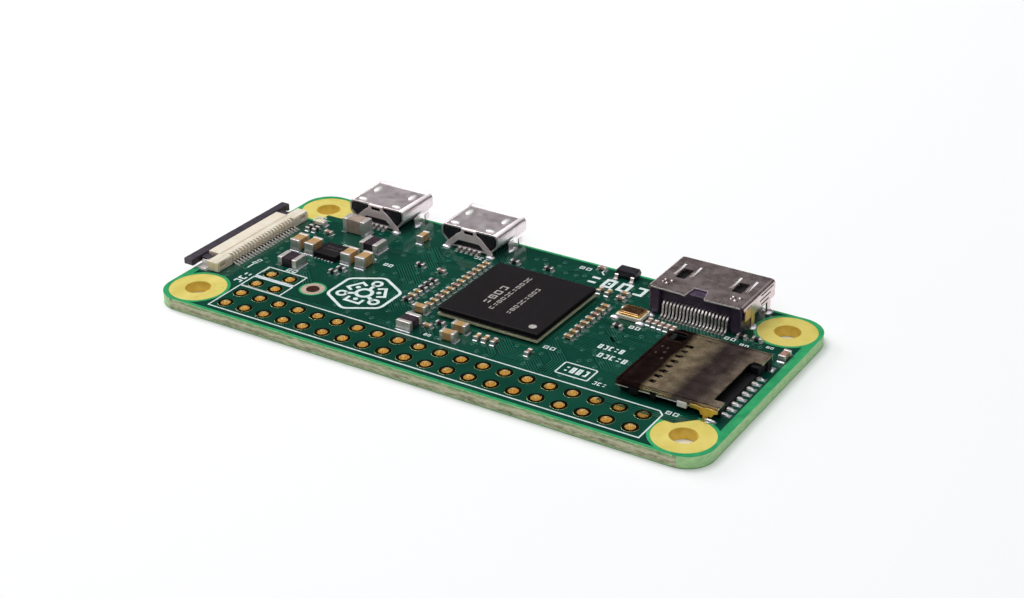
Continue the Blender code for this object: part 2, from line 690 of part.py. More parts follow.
def processor():
    x, y = PROCESSOR
    box_part("processor_substrate", "substrate", [centred_box(x, y, 12.0, 12.0, 0.25, 0.5)])
    box_part("processor_die", "mould", [centred_box(x, y, 8.0, 8.0, 0.52, 0.68)])
    box_part("memory_substrate", "mould", [centred_box(x, y, 12.0, 12.0, 0.72, 0.84)])
    bevelled(box_part("memory_package", "mould", [centred_box(x, y, 11.9, 11.9, 0.86, 1.22)]), 0.05)


def crystal():
    x, y = 14.0, 6.4
    box_part("crystal_base", "brown_ceramic", [centred_box(x, y, 2.9, 2.3, SOLDER, 0.45)])
    bevelled(box_part("crystal_lid", "gold", [centred_box(x, y, 2.5, 2.0, 0.47, 0.75)]), 0.08)


def regulator():
    x, y = -21.3, 2.0
    body = centred_box(x, y, 3.0, 2.8, SOLDER, 0.7)
    bevelled(box_part("power_regulator", "mould", [body]), 0.05)


def diode():
    x, y = 9.35, 13.95
    body = centred_box(x, y, 2.5, 1.45, 0.12, 1.0)
    bevelled(box_part("protection_diode", "black_plastic", [body]), 0.06)


# ---------------------------------------------------------------- chip capacitors and the like


def chip(name, finish, x, y, length, width, height, along):
    """A two-terminal chip: a body with an end cap at each end of its length."""
    cap = length * 0.22
    size = (length, width) if along == "X" else (width, length)
    middle = (length - cap, width - 0.06) if along == "X" else (width - 0.06, length - cap)
    shift = (length - cap) / 2
    ends = []
    for side in (-1, 1):
        end_x = x + side * shift if along == "X" else x
        end_y = y if along == "X" else y + side * shift
        end_size = (cap, size[1]) if along == "X" else (size[0], cap)
        ends.append(centred_box(end_x, end_y, *end_size, SOLDER, SOLDER + height))
    body = centred_box(x, y, *middle, SOLDER + 0.03, SOLDER + height - 0.03)
    return box_part(name, finish, [body], joined=[ends])


# name, finish, x, y, length, width, height, long axis
LARGE_CHIPS = [
    ("regulator_capacitor_1", "tan_ceramic", -25.6, 1.85, 2.0, 1.25, 1.25, "Y"),
    ("regulator_capacitor_2", "tan_ceramic", -23.65, 1.85, 2.0, 1.25, 1.25, "Y"),
    ("regulator_capacitor_3", "tan_ceramic", -18.7, 1.85, 2.0, 1.25, 1.25, "Y"),
    ("regulator_capacitor_4", "tan_ceramic", -16.75, 1.85, 2.0, 1.25, 1.25, "Y"),
    ("bulk_capacitor", "brown_ceramic", -22.4, 8.3, 3.0, 1.6, 1.7, "X"),
    ("port_capacitor", "tan_ceramic", -14.65, 10.1, 1.6, 0.8, 0.9, "Y"),
    ("processor_capacitor_1", "tan_ceramic", -5.35, -4.0, 1.6, 0.8, 0.8, "X"),
    ("processor_capacitor_2", "tan_ceramic", 0.5, -7.45, 1.7, 0.95, 0.95, "X"),
    ("processor_capacitor_3", "tan_ceramic", 0.6, -5.45, 1.7, 0.95, 0.95, "X"),
    ("socket_capacitor", "tan_ceramic", 31.0, 6.3, 1.6, 0.8, 0.6, "Y"),
    ("regulator_inductor_1", "dark_ferrite", -23.75, -2.0, 2.5, 1.9, 1.0, "X"),
    ("regulator_inductor_2", "dark_ferrite", -18.3, 5.6, 2.4, 2.0, 1.0, "X"),
    ("processor_inductor", "dark_ferrite", -4.6, -7.1, 2.2, 1.75, 0.95, "Y"),
    ("activity_light", "light_lens", -27.3, 7.7, 1.6, 0.8, 0.5, "X"),
]

SMALL_LENGTH = 1.0
SMALL_WIDTH = 0.5
SMALL_HEIGHT = 0.42


def small_row(prefix, finish, x, first_y, pitch, count):
    """A column of small chips, side by side along Y."""
    for i in range(count):
        y = first_y + i * pitch
        name = "%s_%02d" % (prefix, i + 1)
        chip(name, finish, x, y, SMALL_LENGTH, SMALL_WIDTH, SMALL_HEIGHT, "X")


def chips():
    for entry in LARGE_CHIPS:
        chip(*entry)
    small_row("decoupling_capacitor_left", "tan_ceramic", -5.2, -2.6, 1.01, 11)
    small_row("decoupling_capacitor_right", "tan_ceramic", 10.75, -1.1, 1.08, 8)


circuit_board()
camera_connector()
small_port("power_port", POWER_X)
small_port("data_port", DATA_X)
video_port()
card_socket()
processor()
crystal()
regulator()
diode()
chips()
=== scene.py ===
"""Looks of the single board computer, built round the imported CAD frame.

Sizes are in millimetres and heights are measured from the board's top face, unless a name says otherwise.
X runs along the long side towards the card socket, Y along the short side towards the ports, Z up.
"""

import json
import math
import random

import bmesh
import bpy
from mathutils import Matrix, Vector, geometry, noise

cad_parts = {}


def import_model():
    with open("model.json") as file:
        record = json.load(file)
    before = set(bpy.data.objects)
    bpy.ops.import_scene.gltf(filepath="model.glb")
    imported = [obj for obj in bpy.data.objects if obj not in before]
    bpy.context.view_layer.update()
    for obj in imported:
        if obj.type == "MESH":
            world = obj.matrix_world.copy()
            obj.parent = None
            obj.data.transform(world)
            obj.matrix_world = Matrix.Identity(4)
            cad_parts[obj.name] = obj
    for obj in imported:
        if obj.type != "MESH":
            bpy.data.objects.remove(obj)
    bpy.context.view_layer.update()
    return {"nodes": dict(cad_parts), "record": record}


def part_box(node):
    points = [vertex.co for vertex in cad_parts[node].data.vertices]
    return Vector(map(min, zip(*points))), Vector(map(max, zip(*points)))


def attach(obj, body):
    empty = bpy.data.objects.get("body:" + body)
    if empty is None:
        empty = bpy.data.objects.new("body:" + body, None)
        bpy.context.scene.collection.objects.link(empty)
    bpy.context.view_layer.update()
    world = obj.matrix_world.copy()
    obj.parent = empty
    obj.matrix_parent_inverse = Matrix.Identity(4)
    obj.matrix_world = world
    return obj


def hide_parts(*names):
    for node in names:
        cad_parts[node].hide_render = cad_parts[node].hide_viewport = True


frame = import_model()

MM = 0.001
BOARD_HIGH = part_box("circuit_board")[1]
TOP = BOARD_HIGH.z / MM
HALF_X = BOARD_HIGH.x / MM
HALF_Y = BOARD_HIGH.y / MM
CORNER_R = 3.0
HOLES = [(x, y) for x in (-29.0, 29.0) for y in (-11.5, 11.5)]
HOLE_R = 1.375
RING_R = 3.1
PITCH = 2.54
HEADER_Y = -11.5
# How far the pads and solder dip into the board's face.
SUNK = -0.002
# Half the angle of a corner, in radians, above which it is left as it is.
NEARLY_STRAIGHT = 1.56
SLOTS = {entry["node"]: entry["material_slot"] for entry in frame["record"]["subparts"]}
rand = random.Random(7)


def place(node):
    """The lowest and highest corners of a CAD node."""
    low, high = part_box(node)
    up = Vector((0.0, 0.0, TOP))
    return low / MM - up, high / MM - up


def row(count, pitch, middle=0.0):
    return [middle + (i - (count - 1) / 2) * pitch for i in range(count)]


def span(side, near, far):
    """The stretch from near to far, on the side -1 or 1 of the middle, lowest first."""
    return sorted((side * near, side * far))


# ---------------------------------------------------------------- outlines


def circle(x, y, radius, sides=24):
    steps = [2 * math.pi * (i + 0.5) / sides for i in range(sides)]
    return [(x + radius * math.cos(a), y + radius * math.sin(a)) for a in steps]


def rectangle(x0, y0, x1, y1):
    return [(x0, y0), (x1, y0), (x1, y1), (x0, y1)]


def rounded(corners, radii, steps=5, closed=True):
    """The outline or path with an arc of its radius at each corner."""
    if not isinstance(radii, (list, tuple)):
        radii = [radii] * len(corners)
    count = len(corners)
    path = []
    for i, radius in enumerate(radii):
        here = Vector(corners[i])
        to_last = (Vector(corners[i - 1]) - here).normalized()
        to_next = (Vector(corners[(i + 1) % count]) - here).normalized()
        half = to_last.angle(to_next, math.pi) / 2
        end_point = not closed and i in (0, count - 1)
        if end_point or radius == 0 or half > NEARLY_STRAIGHT:
            path.append(tuple(here))
            continue
        centre = here + (to_last + to_next).normalized() * (radius / math.sin(half))
        start = here + to_last * (radius / math.tan(half)) - centre
        end = here + to_next * (radius / math.tan(half)) - centre
        turn = start.angle_signed(end)
        for k in range(steps + 1):
            path.append(tuple(centre + Matrix.Rotation(-turn * k / steps, 2) @ start))
    return path


def area(outline):
    return sum(a[0] * b[1] - b[0] * a[1] for a, b in zip(outline, outline[1:] + outline[:1])) / 2


def side_step(before, here, after, distance):
    """The point moved to the left of its path by distance, mitred."""
    first = (here - before).normalized() if before is not None else (after - here).normalized()
    second = (after - here).normalized() if after is not None else first
    left_a = Vector((-first.y, first.x))
    left_b = Vector((-second.y, second.x))
    both = left_a + left_b
    if both.length < 0.3:
        return here + left_a * distance
    both.normalize()
    return here + both * (distance / max(both.dot(left_a), 0.5))


def beside(path, distance, closed=False):
    points = [Vector(p) for p in path]
    count = len(points)
    moved = []
    for i, here in enumerate(points):
        before = points[i - 1] if closed or i > 0 else None
        after = points[(i + 1) % count] if closed or i < count - 1 else None
        moved.append(tuple(side_step(before, here, after, distance)))
    return moved


def inset(outline, distance):
    """The closed outline moved inwards, or outwards where distance is negative."""
    if area(outline) < 0:
        outline = outline[::-1]
    return beside(outline, distance, closed=True) if distance else outline


def crossing(start, end, centre, radius):
    """The point where the line from start to end meets the circle."""
    start, end = Vector(start) - centre, Vector(end) - centre
    along = end - start
    half_b = start.dot(along)
    root = math.sqrt(half_b ** 2 - along.length_squared * (start.length_squared - radius ** 2))
    shares = [(-half_b + sign * root) / along.length_squared for sign in (-1, 1)]
    share = min(shares, key=lambda s: abs(s - 0.5))
    return start + along * share


def notched(outline, x, y, radius, steps=28):
    """The anticlockwise outline with a round bite taken out of it about a point."""
    centre = Vector((x, y))
    count = len(outline)
    outside = [(Vector(p) - centre).length > radius for p in outline]
    first = next(i for i in range(count) if outside[i] and not outside[i - 1])
    turned = outline[first:] + outline[:first]
    kept = [p for p in turned if (Vector(p) - centre).length > radius]
    enter = crossing(kept[-1], turned[len(kept)], centre, radius)
    leave = crossing(turned[-1], turned[0], centre, radius)
    begin = math.atan2(enter.y, enter.x)
    sweep = (math.atan2(leave.y, leave.x) - begin) % (2 * math.pi) - 2 * math.pi
    angles = [begin + sweep * k / steps for k in range(steps + 1)]
    return kept + [(x + radius * math.cos(a), y + radius * math.sin(a)) for a in angles]


def in_plane(plane, u, v, w):
    return {"XY": (u, v, w), "XZ": (u, w, v), "YZ": (w, u, v)}[plane]


# ---------------------------------------------------------------- shapes


def keep_flats(data):
    """Marks the edges where a flat face meets a rounded one, so that the flat is shaded flat."""
    kinds = {}
    for face in data.polygons:
        flat = max(abs(c) for c in face.normal) > 0.9999
        for key in face.edge_keys:
            kinds.setdefault(key, set()).add(flat)
    for edge in data.edges:
        if len(kinds.get(edge.key, ())) == 2:
            edge.use_edge_sharp = True


def bridge(part, loops, closed=False):
    """The faces between loops of points of one length, each loop and its next."""
    following = loops[1:] + loops[:1] if closed else loops[1:]
    for a, b in zip(loops, following):
        for i in range(len(a)):
            j = (i + 1) % len(a)
            corners = list(dict.fromkeys((a[i], a[j], b[j], b[i])))
            if len(corners) > 2:
                part.faces.new(corners)


class Shape:
    """Gathers closed bodies into one mesh. matrix places what is added next."""

    def __init__(self):
        self.mesh = bmesh.new()
        self.matrix = Matrix.Identity(4)

    def at(self, x, y, degrees=0.0, z=0.0):
        self.matrix = Matrix.Translation((x, y, z)) @ Matrix.Rotation(math.radians(degrees), 4, "Z")
        return self

    def take(self, part, material):
        bmesh.ops.recalc_face_normals(part, faces=part.faces)
        bmesh.ops.transform(part, matrix=self.matrix, verts=part.verts)
        for face in part.faces:
            face.material_index = material
            face.smooth = True
        scratch = bpy.data.meshes.new("scratch")
        part.to_mesh(scratch)
        part.free()
        self.mesh.from_mesh(scratch)
        bpy.data.meshes.remove(scratch)

    def box(self, low, high, material=0, edge=0.0, steps=2):
        low, high = Vector(low), Vector(high)
        part = bmesh.new()
        size = Matrix.Diagonal((*(high - low), 1.0))
        bmesh.ops.create_cube(part, size=1.0, matrix=Matrix.Translation((low + high) / 2) @ size)
        if edge:
            edges = part.edges[:]
            bmesh.ops.bevel(part, geom=edges, offset=edge, segments=steps, profile=0.5, affect="EDGES")
        self.take(part, material)

    def rings(self, loops, material=0, closed=False):
        """A body from loops of points of one length. It is capped at both ends unless it is closed."""
        part = bmesh.new()
        made = [[part.verts.new(p) for p in loop] for loop in loops]
        bridge(part, made, closed)
        if not closed:
            part.faces.new(made[0])
            part.faces.new(made[-1])
        self.take(part, material)

    def plate(self, outlines, low, high, plane="XY", material=0, edge=0.0, steps=2):
        """The first outline less the others, from low to high, with its edges rounded."""
        levels = [(low, 0.0), (high, 0.0)]
        if edge:
            turns = [math.radians(90 * k / steps) for k in range(steps + 1)]
            levels = [(low + edge * (1 - math.cos(a)), edge * (1 - math.sin(a))) for a in turns]
            levels += [(high + low - level, in_by) for level, in_by in reversed(levels)]
        part = bmesh.new()
        ends = ([], [])
        flat = []
        for index, outline in enumerate(outlines):
            sign = -1 if index else 1
            made = []
            for level, in_by in levels:
                moved = inset(outline, sign * in_by)
                made.append([part.verts.new(in_plane(plane, u, v, level)) for u, v in moved])
            bridge(part, made)
            ends[0].extend(made[0])
            ends[1].extend(made[-1])
            flat.append([Vector((u, v, 0.0)) for u, v in inset(outline, sign * levels[0][1])])
        for verts in ends:
            if len(outlines) == 1:
                part.faces.new(verts)
                continue
            for corners in geometry.tessellate_polygon(flat):
                part.faces.new([verts[i] for i in corners])
        self.take(part, material)

    def strip(self, path, width, low, high, material=0, plane="XY", closed=False, edge=0.0):
        """A flat strip of the given width along a path."""
        left = beside(path, width / 2, closed)
        right = beside(path, -width / 2, closed)
        outlines = [left + right[::-1]]
        if closed:
            outlines = sorted((left, right), key=lambda o: -abs(area(o)))
        self.plate(outlines, low, high, plane, material, edge)

    def turned(self, profile, sides=24, material=0, stretch=(1.0, 1.0), closed=False):
        """A body turned about the vertical axis. An open profile starts and ends on the axis."""
        part = bmesh.new()
        turns = [2 * math.pi * i / sides for i in range(sides)]
        made = []
        for radius, z in profile:
            if radius == 0.0:
                made.append([part.verts.new((0.0, 0.0, z))] * sides)
                continue
            wide, deep = radius * stretch[0], radius * stretch[1]
            made.append([part.verts.new((wide * math.cos(a), deep * math.sin(a), z)) for a in turns])
        bridge(part, made, closed)
        self.take(part, material)

    def dome(self, x, y, z, size, height, material=0, sides=16, steps=4):
        """A rounded bump of the given length along X and Y."""
        turns = [math.radians(90 * k / steps) for k in range(steps)]
        profile = [(0.0, 0.0)] + [(math.cos(a), height * math.sin(a)) for a in turns] + [(0.0, height)]
        kept = self.matrix
        self.matrix = kept @ Matrix.Translation((x, y, z))
        self.turned(profile, sides, material, stretch=(size[0] / 2, size[1] / 2))
        self.matrix = kept

    def piece(self, name, finishes, slot, body="board", nodes=(), sharp=35.0):
        """Makes the mesh an object that rides on a body, and stands for the CAD nodes."""
        to_frame = Matrix.Translation((0.0, 0.0, TOP * MM)) @ Matrix.Scale(MM, 4)
        bmesh.ops.transform(self.mesh, matrix=to_frame, verts=self.mesh.verts)
        data = bpy.data.meshes.new(name)
        self.mesh.to_mesh(data)
        self.mesh.free()
        data.set_sharp_from_angle(angle=math.radians(sharp))
        keep_flats(data)
        for finish in finishes:
            data.materials.append(finish)
        obj = bpy.data.objects.new(name, data)
        bpy.context.scene.collection.objects.link(obj)
        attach(obj, body)
        if nodes:
            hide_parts(*nodes)
        return obj


# ---------------------------------------------------------------- materials


def linear(colour):
    """An sRGB colour of 0 to 255 as linear numbers."""
    shares = [c / 255 for c in colour]
    return [s / 12.92 if s <= 0.04045 else ((s + 0.055) / 1.055) ** 2.4 for s in shares]


def node(tree, kind, **values):
    made = tree.nodes.new(kind)
    for key, value in values.items():
        made.inputs[key.replace("_", " ")].default_value = value
    return made


def coordinates(tree, stretch):
    """The object's own coordinates in millimetres, stretched."""
    texture = tree.nodes.new("ShaderNodeTexCoord")
    mapping = tree.nodes.new("ShaderNodeMapping")
    mapping.inputs["Scale"].default_value = [s / MM for s in stretch]
    tree.links.new(texture.outputs["Object"], mapping.inputs["Vector"])
    return mapping.outputs["Vector"]


def noise_of(tree, vector, grain, detail):
    made = node(tree, "ShaderNodeTexNoise", Scale=grain, Detail=detail, Roughness=0.6)
    tree.links.new(vector, made.inputs["Vector"])
    return made.outputs["Fac"]


def ramp_of(tree, factor, stops):
    ramp = tree.nodes.new("ShaderNodeValToRGB")
    elements = ramp.color_ramp.elements
    while len(elements) < len(stops):
        elements.new(0.5)
    for element, (position, colour) in zip(elements, stops):
        element.position = position
        element.color = (*linear(colour), 1.0)
    tree.links.new(factor, ramp.inputs["Fac"])
    return ramp.outputs["Color"]


def spread_along(tree, vector, axis, low, high, waver, grain):
    """0 to 1 from low to high along an axis, wavering by some noise."""
    split = tree.nodes.new("ShaderNodeSeparateXYZ")
    tree.links.new(vector, split.inputs["Vector"])
    share = node(tree, "ShaderNodeMapRange", From_Min=low, From_Max=high)
    tree.links.new(split.outputs[axis], share.inputs["Value"])
    shift = tree.nodes.new("ShaderNodeMath")
    shift.operation = "MULTIPLY_ADD"
    shift.inputs[1].default_value = waver
    tree.links.new(noise_of(tree, vector, grain, 3.0), shift.inputs[0])
    tree.links.new(share.outputs["Result"], shift.inputs[2])
    return shift.outputs["Value"]


def finish(name, stops, rough, metal=0.0, grain=2.0, bump=0.004, bump_grain=12.0, coat=0.0,
           rough_vary=0.08, stretch=(1, 1, 1), specular=0.5, subsurface=0.0, along=None):
    """A procedural material: colour from noise between stops, with its own roughness and bump.

    along is an axis, its low and high ends in millimetres, a waver and the waver's grain, for colour that
    changes over a part."""
    material = bpy.data.materials.new(name)
    material.use_nodes = True
    tree = material.node_tree
    shader = tree.nodes["Principled BSDF"]
    vector = coordinates(tree, stretch)
    if along:
        factor = spread_along(tree, vector, *along)
    else:
        factor = noise_of(tree, vector, grain, 4.0)
    colour = ramp_of(tree, factor, stops)
    tree.links.new(colour, shader.inputs["Base Color"])
    shader.inputs["Metallic"].default_value = metal
    shader.inputs["IOR"].default_value = 1.5
    shader.inputs["Specular IOR Level"].default_value = specular
    shader.inputs["Coat Weight"].default_value = coat
    shader.inputs["Coat Roughness"].default_value = 0.08
    if subsurface:
        shader.inputs["Subsurface Weight"].default_value = subsurface
        shader.inputs["Subsurface Scale"].default_value = 0.8 * MM
    fine = noise_of(tree, vector, bump_grain, 3.0)
    spread = node(tree, "ShaderNodeMapRange", From_Min=0.3, From_Max=0.7)
    spread.inputs["To Min"].default_value = max(rough - rough_vary, 0.03)
    spread.inputs["To Max"].default_value = rough + rough_vary
    tree.links.new(noise_of(tree, vector, grain * 2.3, 3.0), spread.inputs["Value"])
    tree.links.new(spread.outputs["Result"], shader.inputs["Roughness"])
    relief = node(tree, "ShaderNodeBump", Strength=1.0, Distance=bump * MM)
    tree.links.new(fine, relief.inputs["Height"])
    tree.links.new(relief.outputs["Normal"], shader.inputs["Normal"])
    return material


def tones(dark, light):
    return [(0.3, dark), (0.7, light)]


MASK = finish("mask_over_copper", tones((4, 58, 46), (12, 76, 60)), 0.14, grain=0.16, bump=0.0015,
              bump_grain=1.2, coat=0.1, rough_vary=0.04)
MASK_GAP = finish("mask_over_gaps", tones((2, 34, 30), (6, 48, 40)), 0.14, grain=0.3, bump=0.0015,
                  bump_grain=1.5, coat=0.1, rough_vary=0.04)
MASK_TRACK = finish("mask_over_tracks", tones((12, 76, 60), (28, 98, 78)), 0.16, grain=0.4, bump=0.0015,
                    bump_grain=2.0, coat=0.1, rough_vary=0.04)
MASK_BARE = finish("mask_over_laminate", tones((36, 148, 94), (62, 178, 114)), 0.2, grain=0.6, bump=0.002,
                   bump_grain=2.0, coat=0.1, rough_vary=0.04)
LAMINATE = finish("bare_laminate", tones((214, 196, 92), (232, 216, 122)), 0.35, grain=0.5, bump=0.004,
                  bump_grain=6.0, subsurface=0.2)
ROUTED = finish("routed_edge", [(0.25, (126, 184, 118)), (0.55, (170, 214, 150)), (0.8, (206, 216, 146))],
                0.5, grain=1.2, bump=0.02, bump_grain=8.0, stretch=(1, 1, 4))
# The snapped edges' colour runs up the edge: dark at the bottom as painted shade where the edge meets the
# floor, pale laminate fibres in the middle and the mask's green at the top.
SNAPPED_STOPS_WITH_PAINTED_SHADE = [(0.08, (84, 82, 64)), (0.26, (128, 128, 98)), (0.42, (176, 178, 142)),
                 (0.56, (214, 212, 180)), (0.72, (170, 182, 138)), (0.92, (104, 160, 106))]
SNAPPED = finish("snapped_edge", SNAPPED_STOPS_WITH_PAINTED_SHADE, 0.7, bump=0.06, bump_grain=9.0, stretch=(1, 1, 3.5),
                 along=("Z", 2.0, 6.4, 0.8, 1.3))
HOLE_WALL = finish("hole_wall", tones((212, 178, 56), (240, 210, 92)), 0.5, grain=1.0, bump=0.02,
                   bump_grain=8.0)
GOLD = finish("gold_plating", tones((232, 178, 96), (255, 214, 140)), 0.26, metal=1.0, grain=1.5, bump=0.003)
SPRING_GOLD = finish("spring_gold", tones((172, 150, 88), (204, 182, 116)), 0.34, metal=1.0, grain=1.5,
                     bump=0.003)
# Lit and shaded copies of the gold plating: the barrels paler than the gold, as painted light deep in the
# holes, and the flat rings darkened, as a painted dark reflection.
BARREL_PAINTED_LIGHT = finish("plated_barrel_painted_light", tones((255, 222, 148), (255, 242, 198)), 0.26, metal=0.8, grain=1.5,
                bump=0.003)
GOLD_RING_PAINTED_DARK = finish("gold_ring_painted_dark", tones((60, 50, 28), (92, 74, 38)), 0.16, metal=1.0, grain=2.5, bump=0.002)
WHITE = finish("white_print", tones((196, 216, 214), (236, 242, 240)), 0.5, grain=1.4, bump=0.004)
LILAC = finish("pale_print", tones((172, 176, 204), (206, 208, 226)), 0.5, grain=1.4, bump=0.004)
CREAM = finish("cream_moulding", tones((226, 214, 194), (242, 232, 214)), 0.42, grain=0.5, bump=0.005,
               subsurface=0.1)
FLAP_METAL = finish("flap_metal", tones((222, 208, 208), (240, 228, 228)), 0.5, metal=0.25, grain=1.0,
                    bump=0.003, bump_grain=3.0, rough_vary=0.05)
LATCH = finish("latch_moulding", tones((40, 34, 44), (66, 56, 72)), 0.38, grain=1.2, bump=0.006)
BLACK = finish("black_moulding", tones((18, 15, 22), (38, 32, 44)), 0.35, grain=0.9, bump=0.006)
# Matt black: the card socket's base, and painted shade in the video port's openings and beside its bumps.
BLACK_MATT = finish("black_matt", tones((6, 4, 8), (14, 11, 17)), 0.6, grain=0.9, bump=0.01, specular=0.25)
STEEL = finish("bright_steel", tones((226, 214, 218), (244, 236, 238)), 0.37, metal=1.0, grain=0.6,
               bump=0.002, bump_grain=3.0, rough_vary=0.04)
STAINLESS = finish("stainless", tones((206, 188, 188), (228, 212, 210)), 0.28, metal=1.0, grain=0.35,
                   bump=0.002, bump_grain=1.0, rough_vary=0.05)
# The cover's steel is painted with reflections: bands along X, dark red-brown at the left, then beige, grey
# and beige again towards the right.
COVER_REFLECTION_STOPS = [(0.04, (92, 62, 58)), (0.14, (52, 34, 32)), (0.28, (64, 44, 38)), (0.34, (222, 200, 160)),
               (0.5, (226, 204, 168)), (0.64, (112, 96, 94)), (0.8, (126, 108, 104)),
               (0.97, (214, 192, 168))]
COVER = finish("card_cover_steel_painted_reflections", COVER_REFLECTION_STOPS, 0.26, metal=1.0, grain=0.35, bump=0.002, bump_grain=1.0,
               rough_vary=0.05, along=("X", 19.85, 30.7, 0.1, 0.35))
TIN = finish("tin_plating", tones((228, 220, 216), (250, 244, 240)), 0.36, metal=0.85, grain=3.0,
             bump=0.004, bump_grain=5.0)
SOLDER = finish("solder", tones((198, 202, 206), (236, 238, 240)), 0.3, metal=1.0, grain=3.5, bump=0.006,
                bump_grain=4.0)
# A near-white metal: painted highlights along sheet edges, on bumps and on dimples, and a few small bright
# metal parts.
BRIGHT_TIN_AND_HIGHLIGHT = finish("bright_tin_and_highlight", tones((236, 234, 234), (250, 248, 246)), 0.45, metal=0.6, grain=2.0, bump=0.002)
PLUM = finish("plum_moulding", tones((46, 35, 54), (76, 60, 86)), 0.34, grain=0.9, bump=0.005)
SHADED = finish("shaded_red", tones((34, 16, 18), (62, 30, 30)), 0.45, grain=2.0, bump=0.004, specular=0.3)
PIN_METAL = finish("pin_plating", tones((150, 146, 150), (196, 190, 192)), 0.3, metal=1.0, grain=3.0,
                   bump=0.004, bump_grain=5.0)
TAN = finish("tan_ceramic", tones((164, 128, 78), (200, 164, 112)), 0.4, grain=2.0, bump=0.008)
BROWN = finish("brown_ceramic", tones((146, 128, 118), (184, 164, 150)), 0.42, grain=2.0, bump=0.008)
PINK_BROWN = finish("pink_ceramic", tones((140, 100, 84), (186, 148, 130)), 0.42, grain=2.0, bump=0.008)
FERRITE = finish("dark_ferrite", tones((36, 24, 34), (62, 46, 58)), 0.3, grain=1.5, bump=0.008)
MOULD = finish("memory_mould", tones((10, 6, 11), (20, 13, 19)), 0.4, grain=2.2, bump=0.006,
               bump_grain=22.0, specular=0.2)
SUBSTRATE = finish("package_substrate", tones((168, 172, 138), (204, 206, 172)), 0.5, grain=2.0, bump=0.008)
MARK = finish("grey_mark", tones((150, 144, 142), (190, 186, 180)), 0.6, grain=3.0, bump=0.004)
LENS = finish("milky_lens", tones((226, 214, 186), (246, 238, 216)), 0.3, grain=1.2, bump=0.003,
              subsurface=0.2)


# ---------------------------------------------------------------- board

PAD_R = 0.87
PAD_HOLE_R = 0.52
PAD_CLEAR = 0.02
MASK_T = 0.02
COPPER_T = 0.012


def header_places():
    columns = row(20, PITCH)
    places = [(x, HEADER_Y + side * PITCH / 2) for x in columns for side in (-1, 1)]
    places += [(x, HEADER_Y + k * PITCH) for x in columns[:2] for k in (1.5, 2.5)]
    return places


def board_outline(cut=0.0):
    return rounded(rectangle(-HALF_X + cut, -HALF_Y + cut, HALF_X - cut, HALF_Y - cut), CORNER_R - cut, 10)


def mount_holes(radius, sides=40):
    return [circle(x, y, radius, sides) for x, y in HOLES]


def pad_holes(radius, sides=20):
    return [circle(x, y, radius, sides) for x, y in header_places()]


TOOLING_MARK = (-18.15, -5.6)
BARE_PATCH = rounded([(23.0, 14.3), (23.0, 9.2), (24.9, 9.2), (25.3, 10.3), (24.9, 11.8), (24.4, 12.5),
                      (24.4, 14.1), (24.0, 14.3)], 0.18, 4)


def laminate():
    shape = Shape()
    lower = -TOP
    outline = board_outline(0.02)
    holes = mount_holes(HOLE_R) + pad_holes(PAD_HOLE_R)
    shape.plate([outline] + holes, lower + MASK_T, -MASK_T, material=0, edge=0.015, steps=1)
    obj = shape.piece("board_laminate", [LAMINATE, ROUTED, HOLE_WALL], "solder_mask", nodes=["circuit_board"])
    for face in obj.data.polygons:
        if abs(face.normal.z) > 0.5:
            continue
        middle = face.center / MM
        inside = abs(middle.x) < HALF_X - 1.0 and abs(middle.y) < HALF_Y - 1.0
        face.material_index = 2 if inside else 1


def snapped_edges():
    """The rough long edges, where the board was broken out of its panel."""
    shape = Shape()
    length = 2 * (HALF_X - CORNER_R) + 1.0
    columns = 620
    levels = 12
    tall = TOP - 2 * MASK_T - 0.04
    for side in (-1, 1):
        part = bmesh.new()
        front = []
        back = []
        for i in range(columns + 1):
            x = (i / columns - 0.5) * length
            front.append([])
            back.append([])
            for k in range(levels + 1):
                share = k / levels
                z = -MASK_T - 0.02 - tall * (1 - share)
                rough = noise.fractal(Vector((x * 1.6, z * 5.0, side * 9.0)), 0.7, 2.2, 4)
                ridge = 0.05 * math.sin(math.pi * share) + 0.045 * rough
                fade = min(1.0, (length / 2 - abs(x)) / 1.5)
                rim = min(1.0, 4 * min(share, 1 - share))
                y = side * (HALF_Y - 0.03 + max(-0.02, 0.7 * ridge + 0.02) * fade * rim)
                front[-1].append(part.verts.new((x, y, z)))
                back[-1].append(part.verts.new((x, side * (HALF_Y - 0.06), z)))
        for grid in (front, back):
            for i in range(columns):
                for k in range(levels):
                    part.faces.new((grid[i][k], grid[i + 1][k], grid[i + 1][k + 1], grid[i][k + 1]))
        for i in range(columns):
            for k in (0, levels):
                part.faces.new((front[i][k], front[i + 1][k], back[i + 1][k], back[i][k]))
        for i in (0, columns):
            for k in range(levels):
                part.faces.new((front[i][k], front[i][k + 1], back[i][k + 1], back[i][k]))
        shape.take(part, 0)
    shape.piece("snapped_edges", [SNAPPED], "solder_mask", sharp=70)


def masks():
    """The green layers: over bare laminate at the edges, and over the copper inside them."""
    for name, low, sign in (("top", -MASK_T, 1), ("under", -TOP, -1)):
        shape = Shape()
        openings = mount_holes(RING_R, 56) + pad_holes(PAD_R - 0.02)
        copper_openings = pad_holes(PAD_R + PAD_CLEAR)
        if sign > 0:
            openings.append(circle(*TOOLING_MARK, 1.3, 32))
            openings.append(BARE_PATCH)
            copper_openings.append(circle(*TOOLING_MARK, 1.5, 32))
            copper_openings.append(inset(BARE_PATCH, -0.2))
        shape.plate([board_outline()] + openings, low, low + MASK_T, material=0)
        inner = rounded(rectangle(-HALF_X + 0.85, -HALF_Y + 0.35, HALF_X - 0.95, HALF_Y - 0.35), 2.6, 10)
        for x, y in HOLES:
            inner = notched(inner, x, y, RING_R + 0.35)
        start = 0.0 if sign > 0 else -TOP - COPPER_T * 0.5
        shape.plate([inner] + copper_openings, start, start + COPPER_T * (1 if sign > 0 else 0.5), material=1,
                    edge=0.003, steps=1)
        shape.piece("mask_" + name, [MASK_BARE, MASK], "solder_mask", sharp=60)


